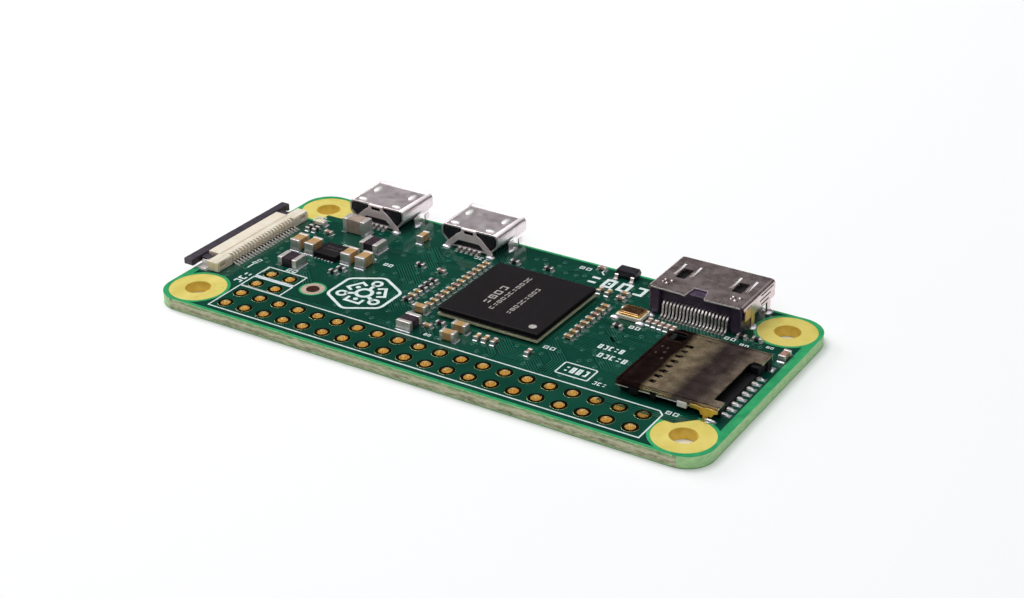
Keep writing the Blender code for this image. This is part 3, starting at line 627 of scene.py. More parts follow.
def plated_holes():
    shape = Shape()
    up = COPPER_T + 0.012
    inner = PAD_HOLE_R - 0.03
    outer_top = PAD_R
    profile = [(inner, -0.06), (inner + 0.015, -0.02), (inner + 0.05, up - 0.005), (inner + 0.09, up),
               (outer_top - 0.005, up), (outer_top, up - 0.003), (outer_top, -MASK_T - 0.004),
               (PAD_HOLE_R + 0.01, -MASK_T - 0.004), (PAD_HOLE_R + 0.01, -TOP + MASK_T + 0.004),
               (outer_top, -TOP + MASK_T + 0.004), (outer_top, -TOP + 0.001), (inner + 0.06, -TOP + 0.001),
               (inner, -TOP + 0.05)]
    for x, y in header_places():
        shape.at(x, y)
        shape.turned(profile, 24, 0, closed=True)
    obj = shape.piece("plated_holes", [BARREL_PAINTED_LIGHT, GOLD_RING_PAINTED_DARK], "gold")
    # Flat faces take the darkened gold of painted reflection; the rest takes the paler gold of painted light.
    for face in obj.data.polygons:
        if abs(face.normal.z) > 0.9:
            face.material_index = 1


def tooling_mark():
    shape = Shape()
    shape.at(*TOOLING_MARK)
    shape.turned([(0.78, -MASK_T), (1.28, -MASK_T), (1.28, SUNK), (0.78, SUNK)], 40, 0, closed=True)
    shape.turned([(0.0, -MASK_T), (0.74, -MASK_T), (0.74, -0.006), (0.0, -0.006)], 40, 1)
    pale = finish("mark_ring", tones((176, 150, 138), (204, 180, 168)), 0.4, grain=2.0)
    brown = finish("mark_centre", tones((58, 30, 26), (92, 54, 44)), 0.3, metal=0.6, grain=2.0)
    shape.piece("tooling_mark", [pale, brown], "tin")


# Copper tracks: route, number of tracks, pitch.
TRACKS = [
    ([(-13.2, 4.4), (-9.6, 0.8), (-9.6, -2.6), (-7.2, -5.0)], 8, 0.27),
    ([(-16.4, 7.6), (-12.6, 7.6), (-9.8, 4.8)], 6, 0.27),
    ([(-12.8, 9.2), (-10.4, 6.8), (-8.8, 8.4), (-6.6, 8.4)], 4, 0.3),
    ([(-3.4, -5.9), (-1.6, -7.7), (-1.6, -8.5)], 3, 0.3),
    ([(1.6, -4.35), (3.2, -5.0), (5.8, -7.6), (5.8, -8.5)], 3, 0.28),
    ([(4.6, -4.3), (7.0, -6.7), (9.8, -6.7), (11.6, -8.5)], 7, 0.26),
    ([(9.4, -2.6), (12.2, -5.4), (12.2, -8.5)], 6, 0.26),
    ([(12.0, -1.6), (14.6, -1.6), (17.2, -4.2), (19.4, -4.2)], 7, 0.27),
    ([(12.0, 0.8), (14.0, 0.8), (15.6, -0.8), (19.4, -0.8)], 5, 0.27),
    ([(12.1, 2.9), (13.4, 2.9), (15.2, 1.1), (19.4, 1.1)], 5, 0.26),
    ([(12.0, 4.3), (12.8, 4.3), (14.6, 2.5), (19.6, 2.5)], 2, 0.3),
    ([(-3.6, 8.4), (-3.6, 10.2), (-6.4, 13.0)], 5, 0.27),
    ([(0.0, 8.4), (0.0, 9.6), (3.4, 13.0), (6.4, 13.0)], 5, 0.27),
    ([(4.4, 8.4), (5.4, 9.4), (5.4, 10.2), (7.6, 12.4)], 4, 0.27),
    ([(-24.6, -2.9), (-21.4, -2.9), (-19.4, -4.9)], 4, 0.3),
    ([(-20.2, -1.0), (-17.0, -1.0), (-15.2, 0.8), (-12.0, 0.8)], 4, 0.3),
    ([(-28.6, 4.2), (-27.2, 4.2), (-26.6, 4.8), (-26.6, 5.4)], 6, 0.22),
    ([(-8.2, -7.9), (-5.9, -7.9), (-5.9, -8.5)], 3, 0.3),
    ([(-28.0, 9.6), (-24.8, 9.6), (-23.6, 10.8), (-23.6, 13.4)], 3, 0.34),
    ([(19.0, -9.6), (27.0, -9.6), (28.6, -8.0)], 3, 0.3),
    ([(-19.2, -8.4), (-10.4, -8.4)], 2, 0.3),
    ([(10.4, 8.0), (12.4, 10.0), (13.9, 10.0)], 3, 0.3),
]


def tracks():
    shape = Shape()
    track_top = COPPER_T + 0.008
    for route, count, pitch in TRACKS:
        for offset in row(count, pitch):
            shape.strip(beside(route, offset), pitch * 0.52, COPPER_T, track_top, 0)
        for offset in row(count + 1, pitch):
            shape.strip(beside(route, offset), pitch * 0.3, COPPER_T, COPPER_T + 0.001, 1)
    shape.piece("copper_tracks", [MASK_TRACK, MASK_GAP], "solder_mask", sharp=60)


def blocked_areas():
    """Where no small detail goes: under the parts, on the header and the printed boxes beside it, and round
    the holes and the tooling mark.
    """
    boxes = []
    for name in frame["nodes"]:
        if name in ("circuit_board", "camera_connector_latch"):
            continue
        low, high = place(name)
        boxes.append((low.x - 0.35, low.y - 0.35, high.x + 0.35, high.y + 0.35))
    boxes.append((-26.0, -14.6, 26.2, -8.4))
    boxes.append((-25.8, -8.9, -19.9, -3.5))
    for x, y in HOLES + [TOOLING_MARK]:
        boxes.append((x - 3.7, y - 3.7, x + 3.7, y + 3.7))
    return boxes


VIA_COUNT = 190
VIA_GAP = 0.9
VIA_TRIES = 5000


def vias():
    """Small plated holes under the mask, loosely spread where the board is open."""
    shape = Shape()
    boxes = blocked_areas()
    made = []
    for _ in range(VIA_TRIES):
        x = rand.uniform(-HALF_X + 1.6, HALF_X - 1.6)
        y = rand.uniform(-8.3, HALF_Y - 1.0)
        if any(x0 < x < x1 and y0 < y < y1 for x0, y0, x1, y1 in boxes):
            continue
        if any((x - u) ** 2 + (y - v) ** 2 < VIA_GAP ** 2 for u, v in made):
            continue
        made.append((x, y))
        if len(made) == VIA_COUNT:
            break
    for x, y in made:
        shape.at(x, y, z=COPPER_T)
        shape.turned([(0.1, 0.001), (0.13, 0.014), (0.24, 0.014), (0.28, 0.001)], 14, 0, closed=True)
        shape.turned([(0.0, 0.0), (0.11, 0.0), (0.11, 0.004), (0.0, 0.004)], 10, 1)
    shape.piece("vias", [MASK_TRACK, MASK_GAP], "solder_mask")


# ---------------------------------------------------------------- printing

PRINT_LOW = COPPER_T + 0.008
PRINT_HIGH = COPPER_T + 0.02
LINE = 0.16
# The signs' stroke as a share of their height, and their width as a share of their pitch.
SIGN_LINE = 0.2
SIGN_WIDTH = 0.72
# How far the marks on a package lie in its face, and stand out of it.
MARK_DEEP = 0.002
MARK_RISE = 0.004

# Strokes of the plain signs that stand in place of letters, in a box of 1 by 1: points, and whether it
# is a ring.
SIGNS = [
    [([(0, 0), (1, 0), (1, 1), (0, 1)], True)],
    [([(1, 0), (0, 0), (0, 1), (1, 1)], False)],
    [([(0, 0), (1, 0), (1, 1), (0, 1)], True), ([(0.36, 0.5), (0.64, 0.5)], False)],
    [([(0, 0), (1, 0), (1, 1), (0, 1)], False)],
    [([(0, 0.14), (1, 0.14)], False), ([(0, 0.86), (1, 0.86)], False)],
]


def bars(shape, x, y, length, height, count, degrees=0.0, material=0, low=PRINT_LOW, high=PRINT_HIGH):
    """A row of plain signs in place of a word. length and height are the whole row's."""
    shape.at(x, y, degrees)
    pitch = length / count
    line = height * SIGN_LINE
    wide = pitch * SIGN_WIDTH - line
    tall = height - line
    for i, middle in enumerate(row(count, pitch)):
        for points, ring in SIGNS[(i * 3 + count) % len(SIGNS)]:
            path = [(middle + (u - 0.5) * wide, (v - 0.5) * tall) for u, v in points]
            shape.strip(path, line, low, high, material, closed=ring)
    shape.at(0, 0)


def package_bars(shape, x, y, length, height, count, degrees, material, face):
    """The same signs on top of a package, whose top is at face."""
    bars(shape, x, y, length, height, count, degrees, material, face - MARK_DEEP, face + MARK_RISE)


def printed_line(shape, path, width=LINE, closed=True, material=0):
    """A printed line on the board."""
    shape.strip(path, width, PRINT_LOW, PRINT_HIGH, material, closed=closed)


EMBLEM_AT = (-12.85, -3.6)


def emblem(shape):
    """A plain sign: a six-sided frame round a ring with three branches, and three brackets between them."""
    shape.at(*EMBLEM_AT)
    printed_line(shape, rounded(circle(0, 0, 3.95, 6), 0.9, 5), 0.34)
    printed_line(shape, circle(0, 0, 0.85, 28), 0.4)
    for turn in range(3):
        shape.at(*EMBLEM_AT, 90 + 120 * turn)
        printed_line(shape, [(1.0, 0), (1.95, 0)], 0.4, closed=False)
        printed_line(shape, circle(2.4, 0, 0.5, 20), 0.34)
        shape.at(*EMBLEM_AT, 30 + 120 * turn)
        printed_line(shape, [(1.35, -0.9), (2.25, -0.9), (2.25, 0.9), (1.35, 0.9)], 0.34, closed=False)
        shape.plate([circle(1.55, 0, 0.28, 16)], PRINT_LOW, PRINT_HIGH)
    shape.at(0, 0)


# x, y, length, height, number of signs, degrees
LABELS = [
    (14.75, -6.48, 2.8, 1.1, 4, 0), (17.9, -7.5, 1.6, 0.6, 3, 0), (-26.3, -7.3, 2.6, 0.95, 3, 90),
    (-22.7, -3.35, 1.5, 0.7, 2, 0), (-6.6, 9.6, 1.9, 0.6, 3, 0), (-14.5, 3.1, 1.3, 0.6, 2, 0),
    (9.3, 11.5, 7.4, 1.9, 4, 0), (15.5, -0.85, 3.0, 0.85, 5, 0), (16.5, -2.45, 3.4, 0.85, 5, 0),
    (10.1, -3.8, 1.5, 0.6, 2, 0), (15.4, 4.2, 1.4, 0.6, 2, 0), (24.7, 7.1, 1.4, 0.6, 2, 0),
    (26.5, 6.5, 1.1, 0.55, 2, 0), (26.4, -8.75, 1.5, 0.6, 2, 0), (4.4, 13.4, 1.6, 0.6, 2, 0),
    (-24.2, 0.45, 1.2, 0.5, 2, 0), (-1.9, -7.8, 0.9, 0.45, 2, 0), (28.9, 7.45, 0.9, 0.4, 2, 0),
    (-27.4, -3.5, 1.4, 0.5, 2, 80), (-28.2, 9.2, 1.3, 0.5, 2, 0), (-16.8, 3.4, 0.9, 0.5, 2, 0),
    (-21.2, 4.6, 1.2, 0.5, 2, 0),
]


def printing():
    shape = Shape()
    printed_line(shape, [(-25.4, -14.05), (25.7, -14.05), (25.7, -9.4), (25.15, -8.85), (-25.4, -8.85)])
    printed_line(shape, rectangle(-25.4, -8.75, -20.2, -6.5))
    printed_line(shape, rectangle(-25.4, -6.15, -20.25, -3.9))
    printed_line(shape, [(-25.4, -6.32), (-20.2, -6.32)], 0.2, closed=False, material=1)
    printed_line(shape, rounded(rectangle(12.95, -7.6, 16.55, -5.35), 0.2, 3))
    emblem(shape)
    for label in LABELS:
        bars(shape, *label)
    printed_line(shape, [(6.4, 14.6), (6.4, 13.5), (6.9, 13.0)], closed=False)
    for x in (-25.3, -27.4):
        printed_line(shape, [(x, -5.2), (x + 0.02, -3.9)], closed=False)
    shape.piece("printing", [WHITE, LILAC], "solder_mask")


# ---------------------------------------------------------------- chips with two ends

# A chip's turn either way in degrees, its height over the board, and its end caps' thickness.
CHIP_TURN = 1.5
CHIP_LIFT = 0.05
CAP_T = 0.035


def chip(shape, x, y, degrees, length, width, height, body=0, cap=0.22, pad=0.22):
    """A ceramic body with wrapped metal ends (finish 1), soldered down on two pads (finish 2).

    cap is each end's share of the length, and pad is how far the solder reaches out."""
    shape.at(x, y, degrees + rand.uniform(-CHIP_TURN, CHIP_TURN))
    cap = length * cap
    edge = min(0.07, height * 0.14)
    half_x = length / 2
    half_y = width / 2
    inside = half_x - cap * 0.5
    shape.box((-inside, -half_y + CAP_T, CHIP_LIFT + CAP_T),
              (inside, half_y - CAP_T, CHIP_LIFT + height - CAP_T), body, edge * 0.5, 1)
    for side in (-1, 1):
        outer = side * half_x
        low, high = span(side, half_x - cap * rand.uniform(0.92, 1.08), half_x)
        shape.box((low, -half_y, CHIP_LIFT), (high, half_y, CHIP_LIFT + height), 1, edge, 3)
        reach = outer + side * pad
        low, high = span(side, half_x - cap * 0.7, half_x + pad)
        shape.box((low, -half_y - 0.04, SUNK), (high, half_y + 0.04, 0.03), 2, 0.012, 1)
        climb = min(height * 0.62, 0.55)
        steps = [k / 6 for k in range(7)]
        curve = [(reach - side * (0.02 + (pad + 0.02) * t), 0.02 + climb * t ** 2.4) for t in steps]
        wedge = curve + [(outer - side * 0.05, 0.02 + climb), (outer - side * 0.05, 0.01), (reach, 0.01)]
        shape.plate([wedge], -half_y + 0.01, half_y - 0.01, "XZ", 2)


# The body finish of each larger chip.
LARGE_CHIPS = {
    "regulator_capacitor_1": TAN, "regulator_capacitor_2": TAN, "regulator_capacitor_3": TAN,
    "regulator_capacitor_4": TAN, "bulk_capacitor": BROWN, "port_capacitor": TAN,
    "processor_capacitor_1": TAN, "processor_capacitor_2": TAN, "processor_capacitor_3": TAN,
    "socket_capacitor": PINK_BROWN, "regulator_inductor_1": FERRITE, "regulator_inductor_2": FERRITE,
    "processor_inductor": FERRITE, "activity_light": LENS,
}


def chip_of_node(shape, name, **options):
    low, high = place(name)
    size = high - low
    middle = (low + high) / 2
    along_x = size.x > size.y
    length = size.x if along_x else size.y
    width = size.y if along_x else size.x
    chip(shape, middle.x, middle.y, 0 if along_x else 90, length, width, size.z, **options)


def large_chips():
    for name, body in LARGE_CHIPS.items():
        shape = Shape()
        chip_of_node(shape, name, cap=0.24 if body is FERRITE else 0.2)
        shape.piece(name + "_body", [body, TIN, SOLDER], SLOTS[name], nodes=[name])


def decoupling_columns():
    """One piece for each small capacitor, so that each keeps its place in the frame."""
    for side, count in (("left", 11), ("right", 8)):
        for i in range(1, count + 1):
            name = "decoupling_capacitor_%s_%02d" % (side, i)
            shape = Shape()
            chip_of_node(shape, name, cap=0.24, pad=0.16)
            body = TAN if (i * 5) % 3 else PINK_BROWN
            shape.piece(name + "_body", [body, TIN, SOLDER], "tan_ceramic", nodes=[name])


# x, y, degrees, finish: 0 tan, 3 dark, 4 pinkish
SMALL_CHIPS = [
    (-5.2, 8.5, 0, 0), (-8.5, 4.6, 0, 4), (-11.3, 4.7, 0, 3), (-2.85, 10.55, 0, 3), (1.2, 11.0, 0, 3),
    (6.1, 14.05, 0, 4), (8.4, 9.5, 90, 0), (9.45, 9.4, 90, 0), (11.2, 8.9, 0, 4), (11.1, 10.05, 0, 0),
    (13.85, 3.4, 0, 3), (2.85, -5.75, 90, 0), (3.81, -5.7, 90, 0), (4.85, -5.75, 90, 4),
    (8.92, -5.86, 90, 4), (-1.95, -5.3, 0, 3), (-2.8, -6.4, 0, 0), (-27.6, 6.1, 90, 3), (-26.7, 6.1, 90, 3),
    (-24.9, 6.15, 0, 4), (-18.5, -1.5, 0, 3), (-18.2, -0.5, 0, 3), (27.2, 8.1, 0, 3), (25.6, 7.9, 0, 3),
    (28.7, 4.9, 90, 3),
]
SECOND_COLUMN = [(-7.9, -2.7 + 0.98 * i, 0, 0 if i in (1, 2) else 3) for i in range(6)]
PIN_ROW = [(16.2 + 0.72 * i, 5.95 - 0.09 * i, 90, 4) for i in range(5)]


def small_chips():
    finishes = [TAN, TIN, SOLDER, FERRITE, PINK_BROWN]
    for name, places in (("scattered_chips", SMALL_CHIPS), ("second_column_chips", SECOND_COLUMN),
                         ("pin_row_chips", PIN_ROW)):
        shape = Shape()
        for x, y, degrees, body in places:
            chip(shape, x, y, degrees, 1.0, 0.5, 0.38, body=body, cap=0.27, pad=0.18)
        shape.piece(name, finishes, "tan_ceramic")


# ---------------------------------------------------------------- camera ribbon connector

CAMERA_PITCH = 0.5
CAMERA_PINS = row(22, CAMERA_PITCH)
NAIL_X = -32.1


def camera_housing(middle, half, front, back, top):
    """A roof and a floor, a beam behind them, stepped ends, and a rib between each two contacts."""
    step = back - 1.4
    core = half - 2.05
    shape = Shape().at(0, middle)
    roof = [(front, 0.75), (front + 0.12, top), (step + 0.25, top), (step + 0.25, 0.75)]
    shape.plate([roof], -core, core, "XZ", edge=0.05)
    shape.box((front, -core, 0.05), (step + 0.2, core, 0.3), edge=0.04)
    beam = [(step, 0.06), (step, top), (back - 0.55, top), (back - 0.5, top - 0.06), (back - 0.5, 0.06)]
    shape.plate([beam], -half, half, "XZ", edge=0.05)
    cheek = CAMERA_PINS[-1] + 0.2
    cap = [(back - 0.7, 0.06), (back - 0.7, top), (back - 0.12, top), (back, top - 0.14), (back, 0.06)]
    for side in (-1, 1):
        for stretch in ((cheek, cheek + 1.15), (half - 0.45, half)):
            shape.plate([cap], *span(side, *stretch), "XZ", edge=0.05)
        near, far = span(side, cheek + 1.0, half - 0.35)
        shape.box((back - 0.7, near, 0.06), (back, far, 0.42), edge=0.03)
        shape.box((back - 0.7, near, 0.85), (back - 0.02, far, top - 0.01), edge=0.03)
        shape.box((step + 0.1, near, 0.1), (back - 0.32, far, top - 0.05))
    rib_top = top - 0.01
    rib = [(back - 0.75, 0.3), (back - 0.75, rib_top), (back - 0.22, rib_top), (back, top - 0.24),
           (back, 0.3)]
    for y in row(len(CAMERA_PINS) - 1, CAMERA_PITCH):
        shape.plate([rib], y - 0.13, y + 0.13, "XZ", edge=0.02, steps=1)
    shape.piece("camera_housing", [CREAM], "cream_plastic", nodes=["camera_connector_housing"])


def camera_contacts(middle, front, back):
    shape = Shape().at(0, middle)
    foot = [(back - 0.6, 0.2), (back + 0.1, 0.2), (back + 0.22, 0.09), (back + 0.62, 0.09)]
    path = rounded(foot, 0.06, 3, closed=False)
    for y in CAMERA_PINS:
        shape.strip(path, 0.1, y - 0.09, y + 0.09, plane="XZ")
        shape.box((back + 0.15, y - 0.14, SUNK), (back + 0.85, y + 0.14, 0.045), 1, 0.015, 1)
        shape.box((front + 0.9, y - 0.07, 0.33), (back - 0.7, y + 0.07, 0.42))
    shape.piece("camera_contacts", [TIN, SOLDER], "tin", nodes=["camera_connector_contacts"])


def camera_nail(middle, side, name):
    """A bent tab that holds the housing's end down. Its X is measured from NAIL_X."""
    shape = Shape().at(NAIL_X, middle)
    outline = [(0, 0.05), (1.25, 0.05), (1.25, 0.62), (0.9, 0.8), (0.2, 0.8), (0, 0.6)]
    shape.plate([outline], *span(side, 7.2, 7.34), plane="XZ", edge=0.03)
    near, far = span(side, 7.2, 8.1)
    shape.box((0, near, 0.05), (1.15, far, 0.18), edge=0.04)
    shape.box((-0.2, near - 0.1, SUNK), (1.3, far + 0.2, 0.05), 1, 0.02, 1)
    near, far = span(side, 6.5, 7.3)
    shape.box((0.6, near, 0.68), (1.0, far, 0.8), edge=0.03)
    shape.piece("camera_nail_" + name, [TIN, SOLDER], "tin", nodes=["camera_connector_nail_" + name])


def camera_latch():
    """The bar with its tongue between the contacts, an arm in each end of the housing, and two end blocks."""
    low, high = place("camera_connector_latch")
    shape = Shape().at(0, (low.y + high.y) / 2)
    half = (high.y - low.y) / 2
    top = high.z
    out, inner = low.x, low.x + 1.15
    bar = [(out, 0.34), (out, top - 0.1), (out + 0.14, top), (inner - 0.1, top), (inner, top - 0.08),
           (inner, 0.34)]
    shape.plate([bar], -half, half, "XZ", edge=0.05)
    shape.box((inner - 0.1, -5.6, 0.53), (inner + 1.1, 5.6, 0.69), edge=0.03)
    for side in (-1, 1):
        near, far = span(side, 6.1, 7.0)
        shape.box((inner - 0.1, near, 0.34), (inner + 1.55, far, 0.88), edge=0.05)
        near, far = span(side, half - 0.75, half - 0.06)
        shape.box((out + 0.05, near, 0.3), (inner + 0.05, far, top - 0.02), edge=0.07)
    shape.piece("latch_bar", [LATCH], "black_plastic", body="latch", nodes=["camera_connector_latch"])


def camera_connector():
    low, high = place("camera_connector_housing")
    middle = (low.y + high.y) / 2
    camera_housing(middle, (high.y - low.y) / 2, low.x, high.x, high.z)
    camera_contacts(middle, low.x, high.x)
    camera_nail(middle, -1, "near")
    camera_nail(middle, 1, "far")
    camera_latch()


# ---------------------------------------------------------------- power and data ports


def port_outline(in_by, steps=7):
    """The shell's outline seen along Y: flat on top, narrower below."""
    corners = [(-2.55, 0.12), (2.55, 0.12), (3.7, 1.3), (3.7, 2.65), (-3.7, 2.65), (-3.7, 1.3)]
    return inset(rounded(corners, [0.3, 0.3, 0.5, 0.55, 0.55, 0.5], steps), in_by)


FLAP_Y = (10.4, 10.55)
PORT_WALL = 0.22


def port_flap():
    """The rear flap: a bridge with two legs down to the board."""
    right = [(0.95, 2.6), (1.02, 2.2), (1.62, 1.82), (3.1, 0.42), (3.1, 0.06), (2.5, 0.06), (1.35, 1.15)]
    left = [(-x, z) for x, z in reversed(right)]
    radii = [0.12, 0.1, 0.3, 0.1, 0.05, 0.1, 0.2]
    return rounded(right + left, radii + radii[::-1], 4)


def port_case(name, x0):
    """Along Y the shell is a tube whose mouth flares. X is measured from the port's middle."""
    shape = Shape().at(x0, 0)
    mouth = 16.35
    profile = [(10.6, 0.0), (10.63, -0.02), (15.8, 0.0), (16.05, -0.05), (16.28, -0.13), (mouth, -0.14),
               (mouth, 0.06), (16.1, 0.14), (15.8, PORT_WALL), (10.63, PORT_WALL), (10.6, PORT_WALL - 0.03)]
    loops = [[(u, y, v) for u, v in port_outline(in_by)] for y, in_by in profile]
    shape.rings(loops, closed=True)
    slot = rounded(rectangle(-0.62, 2.04, 0.62, 2.42), 0.12, 4)
    shape.plate([port_flap(), slot], *FLAP_Y, "XZ", 1, edge=0.04)
    middle = sum(FLAP_Y) / 2
    bend = rounded([(middle, 2.46), (middle, 2.57), (10.8, 2.57)], 0.08, 4, closed=False)
    shape.strip(bend, 0.14, -0.95, 0.95, plane="YZ", material=1)
    for side in (-1, 1):
        # The roof dimples take the near-white metal: painted highlights on the shell's steel.
        shape.dome(side * 2.4, 14.4, 2.63, (0.8, 1.5), 0.2, 2)
        shape.dome(side * 2.3, 11.35, 2.63, (1.2, 0.7), 0.2, 2)
        for start, end, leg_top in ((12.7, 13.8, 1.0), (14.8, 15.6, 0.7)):
            leg = rounded(rectangle(start, 0.02, end, leg_top), 0.15, 3)
            shape.plate([leg], *span(side, 3.66, 3.8), plane="YZ", edge=0.03)
        shape.dome(side * 3.85, 13.25, 0.0, (0.8, 1.5), 0.18, 3)
        shape.dome(side * 2.85, 10.35, 0.0, (1.2, 0.9), 0.26, 3)
    shape.piece(name + "_case", [STEEL, FLAP_METAL, BRIGHT_TIN_AND_HIGHLIGHT, SOLDER], "bright_metal", nodes=[name + "_shell"])


def small_port(name):
    low, high = place(name + "_shell")
    x0 = (low.x + high.x) / 2
    port_case(name, x0)

    shape = Shape().at(x0, 0)
    shape.plate([port_outline(PORT_WALL + 0.04)], 10.75, 12.4, "XZ", edge=0.08)
    shape.box((-2.4, 12.2, 1.5), (2.4, 15.4, 1.95), edge=0.08)
    for side in (-1, 1):
        corners = [(1.25, 0.95), (1.25, 2.3), (3.3, 2.3), (3.3, 1.4), (2.3, 0.4)]
        ear = rounded([(side * x, z) for x, z in corners], [0.1, 0.25, 0.35, 0.35, 0.2], 5)
        shape.plate([ear], 10.62, 10.9, "XZ", edge=0.1)
    shape.piece(name + "_moulding", [BLACK], "black_plastic", nodes=[name + "_insulator"])

    shape = Shape().at(x0, 0)
    path = rounded([(11.5, 0.3), (10.75, 0.3), (10.5, 0.1), (9.95, 0.1)], 0.15, 4, closed=False)
    for x in row(5, 0.65):
        shape.strip(path, 0.14, x - 0.16, x + 0.16, plane="YZ")
        shape.box((x - 0.2, 9.75, SUNK), (x + 0.2, 10.7, 0.05), 1, 0.02, 1)
        shape.box((x - 0.13, 12.3, 1.955), (x + 0.13, 15.3, 1.99), 2, 0.01, 1)
    shape.piece(name + "_pins", [TIN, SOLDER, GOLD], "tin", nodes=[name + "_contacts"])


# ---------------------------------------------------------------- video port


def video_roof(shape, edge_x, rear, front, top):
    """The roof sheet with its tab at the rear, two windows, and a strip of painted highlight along the edge
    of the cut.
    """
    eave = [(-edge_x, rear + 0.1), (-1.6, rear), (-1.05, rear - 0.15), (-0.9, 9.8), (0.65, 9.8), (1.1, rear),
            (edge_x, rear + 0.1), (edge_x, front), (-edge_x, front)]
    windows = []
    for x in (-3.2, 3.2):
        windows.append(rounded(rectangle(x - 0.55, 10.95, x + 0.55, 13.2), 0.1, 2))
        # A black plate under each window: painted shade seen through it.
        shape.box((x - 1.15, 10.7, top - 0.62), (x + 1.15, 14.4, top - 0.5), 1, 0.02, 1)
        for side in (-1, 1):
            near, far = sorted((x + side * 0.75, x + side * 1.05))
            windows.append(rectangle(near, 11.5, far, 14.3))
            blade = [(11.55, top - 0.34), (14.2, top - 0.02)]
            shape.strip(blade, 0.05, near + 0.02, far - 0.02, plane="YZ", material=3)
    radii = [0.1, 0.3, 0.08, 0.06, 0.06, 0.1, 0.1, 0, 0]
    shape.plate([rounded(eave, radii, 3)] + windows, top - 0.18, top)
    # A thin near-white strip just inside the eave: a painted highlight on the sheet's cut edge.
    brink = rounded(eave[:7], [0] + radii[1:6] + [0], 3, closed=False)
    shape.strip(beside(brink, -0.015), 0.03, top - 0.14, top - 0.015, 3)


def open_topped(outline, edge_x, top, wall):
    """A folded sheet on the inside of the outline, open between the outline's two top bends."""
    kept = [p for p in outline if abs(p[0]) > edge_x - 0.001 or p[1] < top - 0.01]
    jumps = [abs(p[0] - last[0]) for p, last in zip(kept, kept[-1:] + kept[:-1])]
    start = jumps.index(max(jumps))
    path = kept[start:] + kept[:start]
    return path + beside(path, wall)[::-1]


def video_side(shape, side, half, edge_x, rear, ring, top):
    """The cheek, the roof's bent edge, a solder bump with a painted shadow and highlight, three slits painted
    as black strips of shade, and two legs on one side.
    """
    cheek = rounded(rectangle(8.6, 1.4, ring + 0.1, top - 0.35), 0.2, 4)
    shape.plate([cheek], *span(side, half - 0.16, half), plane="YZ", edge=0.03)
    level = top - 0.09
    outer = side * (half - 0.09)
    bend = [(side * edge_x, level), (outer, level), (outer, top - 0.5)]
    shape.strip(rounded(bend, 0.3, 5, closed=False), 0.18, rear + 0.3, ring + 0.05, plane="XZ")
    bump = 3.75 if side > 0 else -3.95
    # Each bump has a flat black disc beside it, a painted shadow, and a small near-white dome on top, a
    # painted highlight.
    for dx, dy, size in ((-0.35, 0.3, 0.3), (0.35, 0.35, 0.34), (0.1, -0.35, 0.34), (-0.4, -0.2, 0.24)):
        shape.dome(bump + dx, 9.65 + dy, top - 0.01, (size, size), 0.09)
        shape.dome(bump + dx + 0.24, 9.6 + dy, top - 0.01, (size, size * 0.8), 0.02, 1)
        shape.dome(bump + dx - 0.04, 9.69 + dy, top + 0.05, (size * 0.4, size * 0.4), 0.04, 3)
    # The slits are black strips standing proud of the cheek: painted shade in place of openings.
    for start, end, low in ((12.3, 15.3, 2.72), (12.0, 14.6, 2.2), (12.4, 14.2, 1.7)):
        slit = rounded(rectangle(start, low, end, low + 0.14), 0.06, 3)
        shape.plate([slit], *span(side, half - 0.02, half + 0.012), plane="YZ", material=1)
    for y in (10.6, 14.4):
        shape.dome(side * (half - 0.15), y, 0.0, (1.3, 1.3), 0.2, 2)
        leg = rounded(rectangle(y - 0.4, 0.02, y + 0.4, 1.5), 0.1, 3)
        shape.plate([leg], *span(side, half - 0.22, half - 0.03), plane="YZ", edge=0.03)


